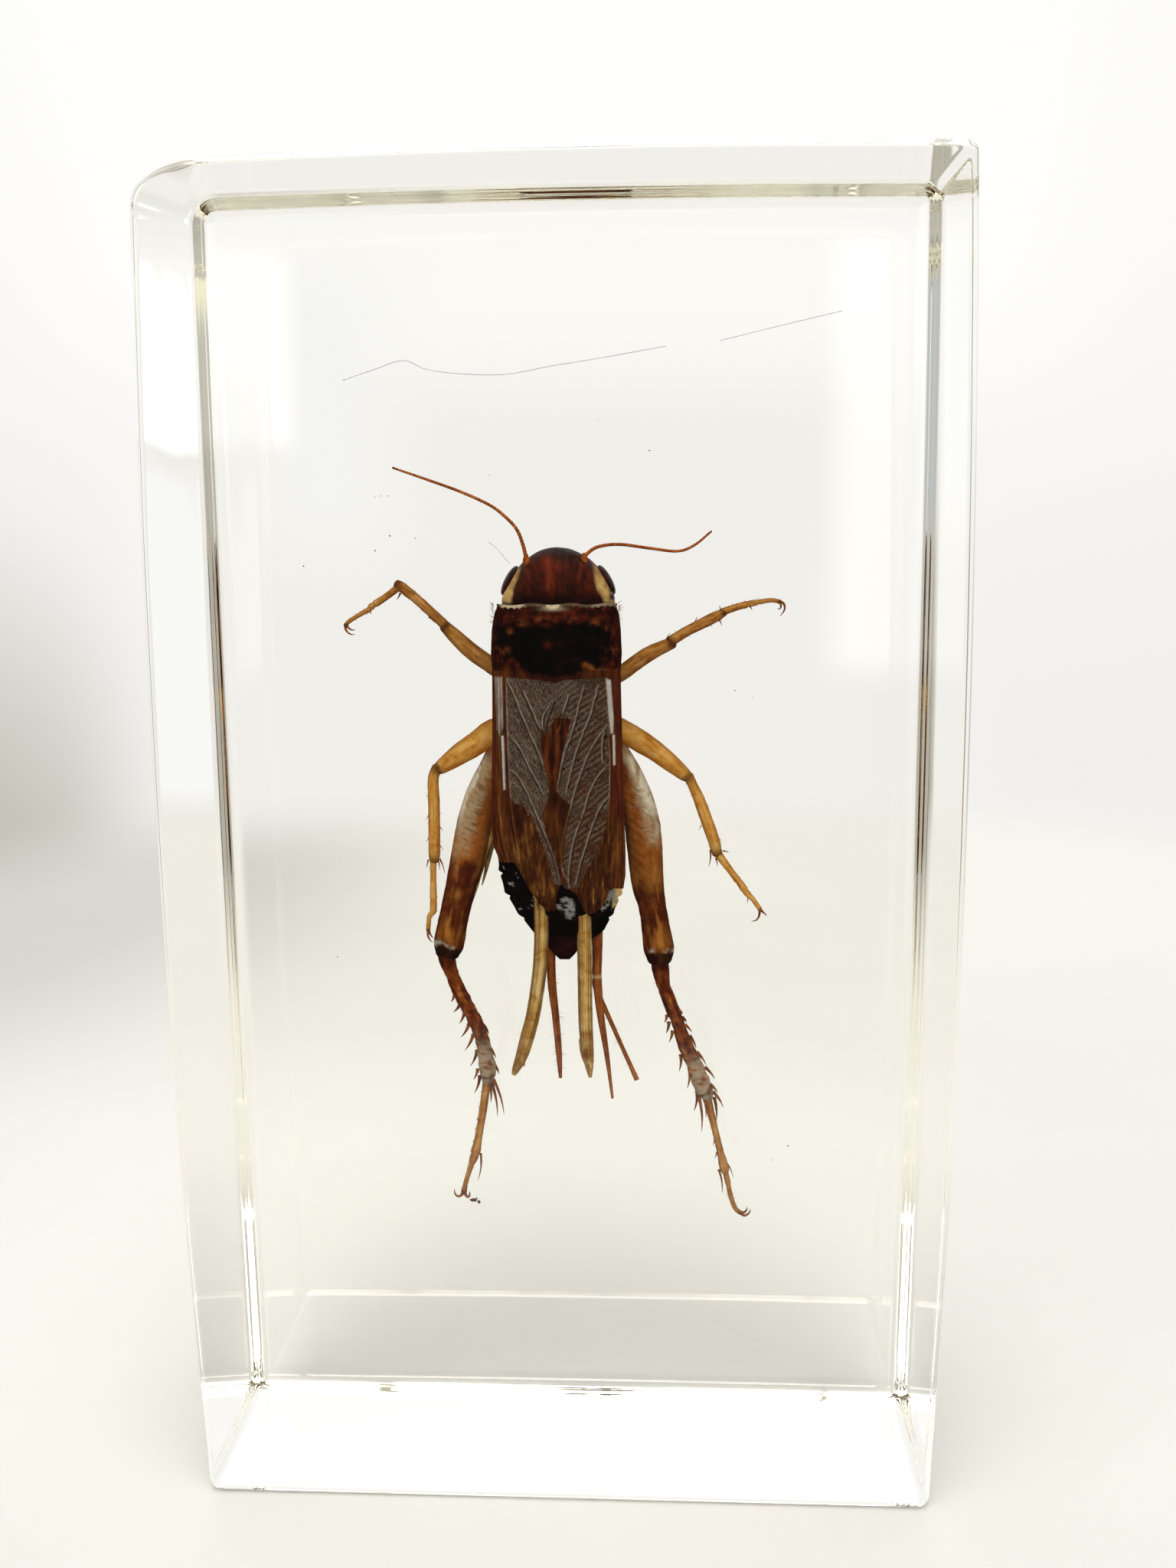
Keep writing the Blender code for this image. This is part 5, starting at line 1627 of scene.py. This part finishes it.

# ------------------------------------------------------------------ mouthparts


def make_mouth():
    soup = Soup()
    c = -0.2
    # upper lip, jaws
    p, f, d = ball((0, 0, 0), (0.95, 0.42, 0.85), 20, 28)
    soup.add(seen(p[:, 0] + c, p[:, 2] + 49.55, p[:, 1] + 3.25), f, ends=0.2, edge=0.0, along=0.5, angle=0.3, pale=0.0)
    for side in (-1, 1):
        p, f, d = ball((0, 0, 0), (0.52, 0.50, 0.95), 18, 24)
        soup.add(seen(p[:, 0] + c + side * 0.95, p[:, 2] + 49.3, p[:, 1] + 2.75), f, ends=0.8, edge=0.0, along=0.5, angle=0.3, pale=0.0)
        # jointed feelers
        for start, parts, r in (
            ((1.15, 49.6, 2.6), [(0.55, -0.55, 0.35), (0.25, -0.75, -0.10), (-0.20, -0.70, -0.25)], 0.17),
            ((0.55, 49.0, 2.7), [(0.15, -0.50, 0.30), (0.10, -0.55, -0.05)], 0.14),
        ):
            x, z, y = c + side * start[0], start[1], start[2]
            for dx, dz, dy in parts:
                x2, z2, y2 = x + side * dx, z + dz, y + dy
                points, faces, data = tube([(x, z, y, r * 0.75, r * 0.75), (0.5 * (x + x2), 0.5 * (z + z2), 0.5 * (y + y2), r, r), (x2, z2, y2, r * 0.85, r * 0.85)], 14, 12)
                soup.add(points, faces, ends=ends(data["along"], 0.12), pale=0.0, **data)
                x, z, y = x2, z2, y2
    soup.write("mouthparts", LEG_DARK, sharp=None)


make_mouth()

# ------------------------------------------------------------------ loose inclusions


def make_hairs():
    p = Paint("pale_fibre")
    n = p.noise(2.0, 3.0)
    material = p.finish(p.principled(p.ramp(n, [(0.3, linear(176, 174, 178)), (0.7, linear(206, 204, 208))]), 0.5, Specular_IOR_Level=0.3))
    for name, line, y, r in (
        ("fibre_long", [(-11.64, 62.78), (-9.83, 63.35), (-8.29, 63.77), (-7.10, 63.31), (-5.29, 63.05), (-2.82, 62.98), (-0.34, 63.38), (2.12, 63.73), (5.79, 64.31)], -0.5, 0.020),
        ("fibre_short", [(8.62, 64.54), (11.84, 65.26), (15.03, 65.95)], 0.5, 0.018),
        ("fibre_low", [(8.31, 8.37), (9.91, 7.51), (11.74, 6.86), (14.02, 6.52)], 1.5, 0.015),
        ("fibre_whisker", [(-3.95, 54.15), (-3.45, 53.75), (-3.0, 53.2), (-2.75, 52.95)], -0.6, 0.014),
    ):
        points, faces, data = tube([(q[0], q[1], y, r, r) for q in line], 7, 120, None, start_round=False, end_round=False)
        write(name, points, faces, material, sharp=None)
    p = Paint("dirt_crumb")
    n = p.noise(3.0, 4.0)
    fine = p.noise(14.0, 3.0)
    dirt = p.finish(p.principled(p.ramp(n, [(0.3, linear(40, 20, 16)), (0.7, linear(96, 54, 42))]), 0.7, p.bump(fine, 0.02)))
    soup = Soup()
    r = random.Random(99)

    def crumb(x, z, y, size, stretch=(1, 1, 1)):
        q, f, d = ball((0, 0, 0), (size * stretch[0], size * stretch[1], size * stretch[2]), 10, 14,
                       shape=lambda d: 1.0 + 0.45 * fbm(d[:, 0] * 2 + x, d[:, 1] * 2 + z, d[:, 2] * 2, 7, 3))
        soup.add(seen(q[:, 0] + x, q[:, 2] + z, q[:, 1] + y), f)

    crumb(-5.62, 15.62, 1.3, 0.14, (1.6, 1, 0.7))
    crumb(-5.30, 15.50, 1.2, 0.08, (1.2, 1, 1.2))
    crumb(-5.42, 15.72, 1.35, 0.05)
    for x, z, s in ((-9.75, 56.65, 0.035), (-9.4, 56.65, 0.028), (-10.1, 56.6, 0.022), (-9.35, 54.50, 0.038), (-7.95, 54.35, 0.028), (-3.8, 57.7, 0.022), (-10.2, 53.7, 0.03), (4.9, 58.9, 0.03), (2.1, 60.5, 0.02), (10.6, 45.5, 0.03), (9.6, 45.9, 0.03), (-14.2, 52.9, 0.03), (-13.2, 30.5, 0.03), (12.9, 19.2, 0.035), (12.0, 18.4, 0.02), (-2.0, 16.0, 0.02), (4.3, 12.9, 0.025), (-11.0, 10.3, 0.02)):
        crumb(x, z, r.uniform(-3, 3), s, (r.uniform(0.8, 2.0), 1, r.uniform(0.6, 1.1)))
    soup.write("dirt_specks", dirt, sharp=None)


make_hairs()

# ------------------------------------------------------------------ stage, light and camera


def make_stage():
    """A plain white floor that fades into the studio's pale surroundings. A hair's breadth of air lies under the block."""
    p = Paint("studio_white")
    n = p.noise(0.02, 3.0)
    colour = p.ramp(n, [(0.3, (0.312, 0.304, 0.286, 1)), (0.7, (0.326, 0.318, 0.300, 1))])
    # painted shade: the floor's colour is darker towards a corner on the left
    corner = p.add("ShaderNodeVectorMath", {0: p.coords, 1: (-0.150, 0.130, 0.0)}, operation="DISTANCE").outputs["Value"]
    dim = p.add("ShaderNodeMapRange", {"Value": corner, "From Min": 0.080, "From Max": 0.135, "To Min": 0.72, "To Max": 1.0}, interpolation_type="SMOOTHSTEP").outputs[0]
    colour = p.mix(1.0, colour, dim, "MULTIPLY")
    # painted light: the floor's colour is lighter just behind the block, lifting the block's shadow
    shade = p.add("ShaderNodeVectorMath", {0: p.coords, 1: (-0.004, 0.020, 0.0)}, operation="DISTANCE").outputs["Value"]
    lift = p.add("ShaderNodeMapRange", {"Value": shade, "From Min": 0.018, "From Max": 0.060, "To Min": 1.16, "To Max": 1.0}, interpolation_type="SMOOTHSTEP").outputs[0]
    colour = p.mix(1.0, colour, lift, "MULTIPLY")
    surface = p.principled(colour, 0.75, Specular_IOR_Level=0.2)
    # distance from a point a little behind the block, in metres
    apart = p.add("ShaderNodeVectorMath", {0: p.coords, 1: (0.0, 0.060, 0.0)}, operation="DISTANCE").outputs["Value"]
    fade = p.add("ShaderNodeMapRange", {"Value": apart, "From Min": 0.100, "From Max": 0.170}, interpolation_type="SMOOTHSTEP").outputs[0]
    clear = p.add("ShaderNodeBsdfTransparent").outputs[0]
    material = p.finish(p.add("ShaderNodeMixShader", {0: fade, 1: surface, 2: clear}).outputs[0])
    rings, around = [0.0, 20, 40, 60, 80, 100, 130, 160, 200, 250, 320], 96
    points = [(0.0, 60.0, -0.03)]
    for r in rings[1:]:
        for k in range(around):
            a = 2 * math.pi * k / around
            points.append((r * math.cos(a), 60.0 + r * math.sin(a), -0.03))
    faces = [(0, 1 + k, 1 + (k + 1) % around) for k in range(around)]
    for r in range(len(rings) - 2):
        for k in range(around):
            j = (k + 1) % around
            faces.append((1 + r * around + k, 1 + (r + 1) * around + k, 1 + (r + 1) * around + j, 1 + r * around + j))
    mesh = bpy.data.meshes.new("studio_floor")
    mesh.from_pydata((np.array(points) * MM).tolist(), [], faces)
    mesh.materials.append(material)
    floor = bpy.data.objects.new("studio_floor", mesh)
    scene.collection.objects.link(floor)


make_stage()


def direction(azimuth, elevation):
    """A unit vector. Azimuth 0 is behind the block, along +Y, and 90 is to its right."""
    a, e = math.radians(azimuth), math.radians(elevation)
    return (math.sin(a) * math.cos(e), math.cos(a) * math.cos(e), math.sin(e))


def make_world():
    """Soft studio surroundings: a bright white wall behind, a soft light above, dimmer room in front."""
    world = bpy.data.worlds.new("studio")
    scene.world = world
    world.use_nodes = True
    tree = world.node_tree
    coords = tree.nodes.new("ShaderNodeTexCoord").outputs["Generated"]

    def lobe(value, azimuth, elevation, inner, outer, colour):
        dot = tree.nodes.new("ShaderNodeVectorMath")
        dot.operation = "DOT_PRODUCT"
        tree.links.new(coords, dot.inputs[0])
        dot.inputs[1].default_value = direction(azimuth, elevation)
        mask = tree.nodes.new("ShaderNodeMapRange")
        mask.interpolation_type = "SMOOTHSTEP"
        tree.links.new(dot.outputs["Value"], mask.inputs["Value"])
        mask.inputs["From Min"].default_value = math.cos(math.radians(outer))
        mask.inputs["From Max"].default_value = math.cos(math.radians(inner))
        mix = tree.nodes.new("ShaderNodeMix")
        mix.data_type = "RGBA"
        tree.links.new(mask.outputs[0], mix.inputs[0])
        if isinstance(value, bpy.types.NodeSocket):
            tree.links.new(value, mix.inputs[6])
        else:
            mix.inputs[6].default_value = value
        mix.inputs[7].default_value = (*colour, 1.0)
        return mix.outputs[2]

    def window(value, azimuth, elevation, half_width, half_height, soft, colour):
        """A soft-edged upright rectangle of light, sized in degrees."""
        ahead, up = Vector(direction(azimuth, elevation)), Vector((0, 0, 1))
        across = ahead.cross(up).normalized()
        up = across.cross(ahead)
        masks = []
        for axis, half in ((across, half_width), (up, half_height)):
            dot = tree.nodes.new("ShaderNodeVectorMath")
            dot.operation = "DOT_PRODUCT"
            tree.links.new(coords, dot.inputs[0])
            dot.inputs[1].default_value = axis
            size = tree.nodes.new("ShaderNodeMath")
            size.operation = "ABSOLUTE"
            tree.links.new(dot.outputs["Value"], size.inputs[0])
            mask = tree.nodes.new("ShaderNodeMapRange")
            mask.interpolation_type = "SMOOTHSTEP"
            tree.links.new(size.outputs[0], mask.inputs["Value"])
            mask.inputs["From Min"].default_value = math.sin(math.radians(half + soft))
            mask.inputs["From Max"].default_value = math.sin(math.radians(max(half - soft, 0.0)))
            masks.append(mask.outputs[0])
        dot = tree.nodes.new("ShaderNodeVectorMath")
        dot.operation = "DOT_PRODUCT"
        tree.links.new(coords, dot.inputs[0])
        dot.inputs[1].default_value = ahead
        front = tree.nodes.new("ShaderNodeMath")
        front.operation = "GREATER_THAN"
        front.inputs[1].default_value = 0.0
        tree.links.new(dot.outputs["Value"], front.inputs[0])
        for other in (masks[1], front.outputs[0]):
            both_masks = tree.nodes.new("ShaderNodeMath")
            both_masks.operation = "MULTIPLY"
            tree.links.new(masks[0], both_masks.inputs[0])
            tree.links.new(other, both_masks.inputs[1])
            masks[0] = both_masks.outputs[0]
        mix = tree.nodes.new("ShaderNodeMix")
        mix.data_type = "RGBA"
        tree.links.new(masks[0], mix.inputs[0])
        tree.links.new(value, mix.inputs[6])
        mix.inputs[7].default_value = (*colour, 1.0)
        return mix.outputs[2]

    value = (0.50, 0.48, 0.44, 1.0)
    for place in LOBES:
        value = lobe(value, *place)
    for place in WINDOWS:
        value = window(value, *place)
    tree.links.new(value, tree.nodes["Background"].inputs["Color"])


# azimuth, elevation, angles where it is full and gone, colour
LOBES = [
    (0, -10, 45, 85, (0.885, 0.868, 0.842)),  # the white wall behind
    (0, 48, 36, 58, (0.975, 0.97, 0.955)),
    (0, 90, 25, 60, (2.2, 2.2, 2.17)),  # soft light above
    (180, 62, 14, 33, (9.0, 9.0, 8.9)),  # and a softbox high in front
    (128, 38, 8, 24, (3.2, 3.2, 3.2)),
    (-128, 38, 8, 24, (3.2, 3.2, 3.2)),
    (0, 72, 12, 25, (4.0, 4.0, 3.95)),  # light from above and behind, which shines through the legs
    (-38, -20, 6, 26, (0.47, 0.46, 0.385)),  # a dim corner low on the left
]
# azimuth, elevation, half width, half height, softness, colour
WINDOWS = [
    (-5, -10, 15, 21, 3.5, (0.955, 0.938, 0.915)),  # the wall is a little brighter just behind the block
    (-4, 14, 18, 8, 4, (1.0, 0.996, 0.985)),
    (-5, 8.5, 12, 3.0, 2.5, (1.05, 1.045, 1.03)),
    (22.5, -5, 2.6, 6, 0.8, (1.03, 1.03, 1.03)),
    (180, -12, 34, 30, 12, (0.065, 0.064, 0.062)),  # the dark room in front
    (112, 14, 28, 6.5, 2, (0.13, 0.13, 0.115)),  # the sides of the room, which draw the block's edges
    (112, 6.2, 28, 1.3, 0.8, (0.90, 0.88, 0.66)),
    (-112, 12.5, 28, 5.5, 2, (0.24, 0.23, 0.20)),
    (-112, 2.5, 28, 4.5, 1.5, (0.46, 0.48, 0.52)),
    (-112, -27, 28, 5, 2, (0.26, 0.23, 0.18)),
    (23.0, 4.7, 3.9, 2.9, 0.35, (1.30, 1.30, 1.30)),
    (-13.0, 4.0, 2.6, 5.5, 2.4, (1.0, 1.0, 0.99)),
    (-162.6, 6.0, 3.2, 3.4, 0.7, (2.0, 2.0, 2.0)),
    (169.9, 1.9, 3.6, 8.0, 1.0, (1.6, 1.6, 1.6)),
]
make_world()

camera_data = bpy.data.cameras.new("photo_camera")
camera_data.lens = 33.4
camera_data.sensor_width = 36.0
camera_data.sensor_fit = "AUTO"
camera_data.clip_start = 0.005
camera_data.clip_end = 20.0
camera = bpy.data.objects.new("photo_camera", camera_data)
scene.collection.objects.link(camera)
camera.matrix_world = Matrix(
    (
        (0.99860175, -0.0000684, 0.05286337, 0.0057305),
        (0.05197816, 0.18351147, -0.9816424, -0.0836069),
        (-0.00963388, 0.98301757, 0.18325843, 0.0556406),
        (0.0, 0.0, 0.0, 1.0),
    )
)
scene.camera = camera

scene.view_settings.view_transform = "Standard"
scene.cycles.max_bounces = 32
scene.cycles.diffuse_bounces = 4
scene.cycles.glossy_bounces = 16
scene.cycles.transmission_bounces = 24
scene.cycles.transparent_max_bounces = 16
scene.cycles.caustics_reflective = True
scene.cycles.caustics_refractive = True
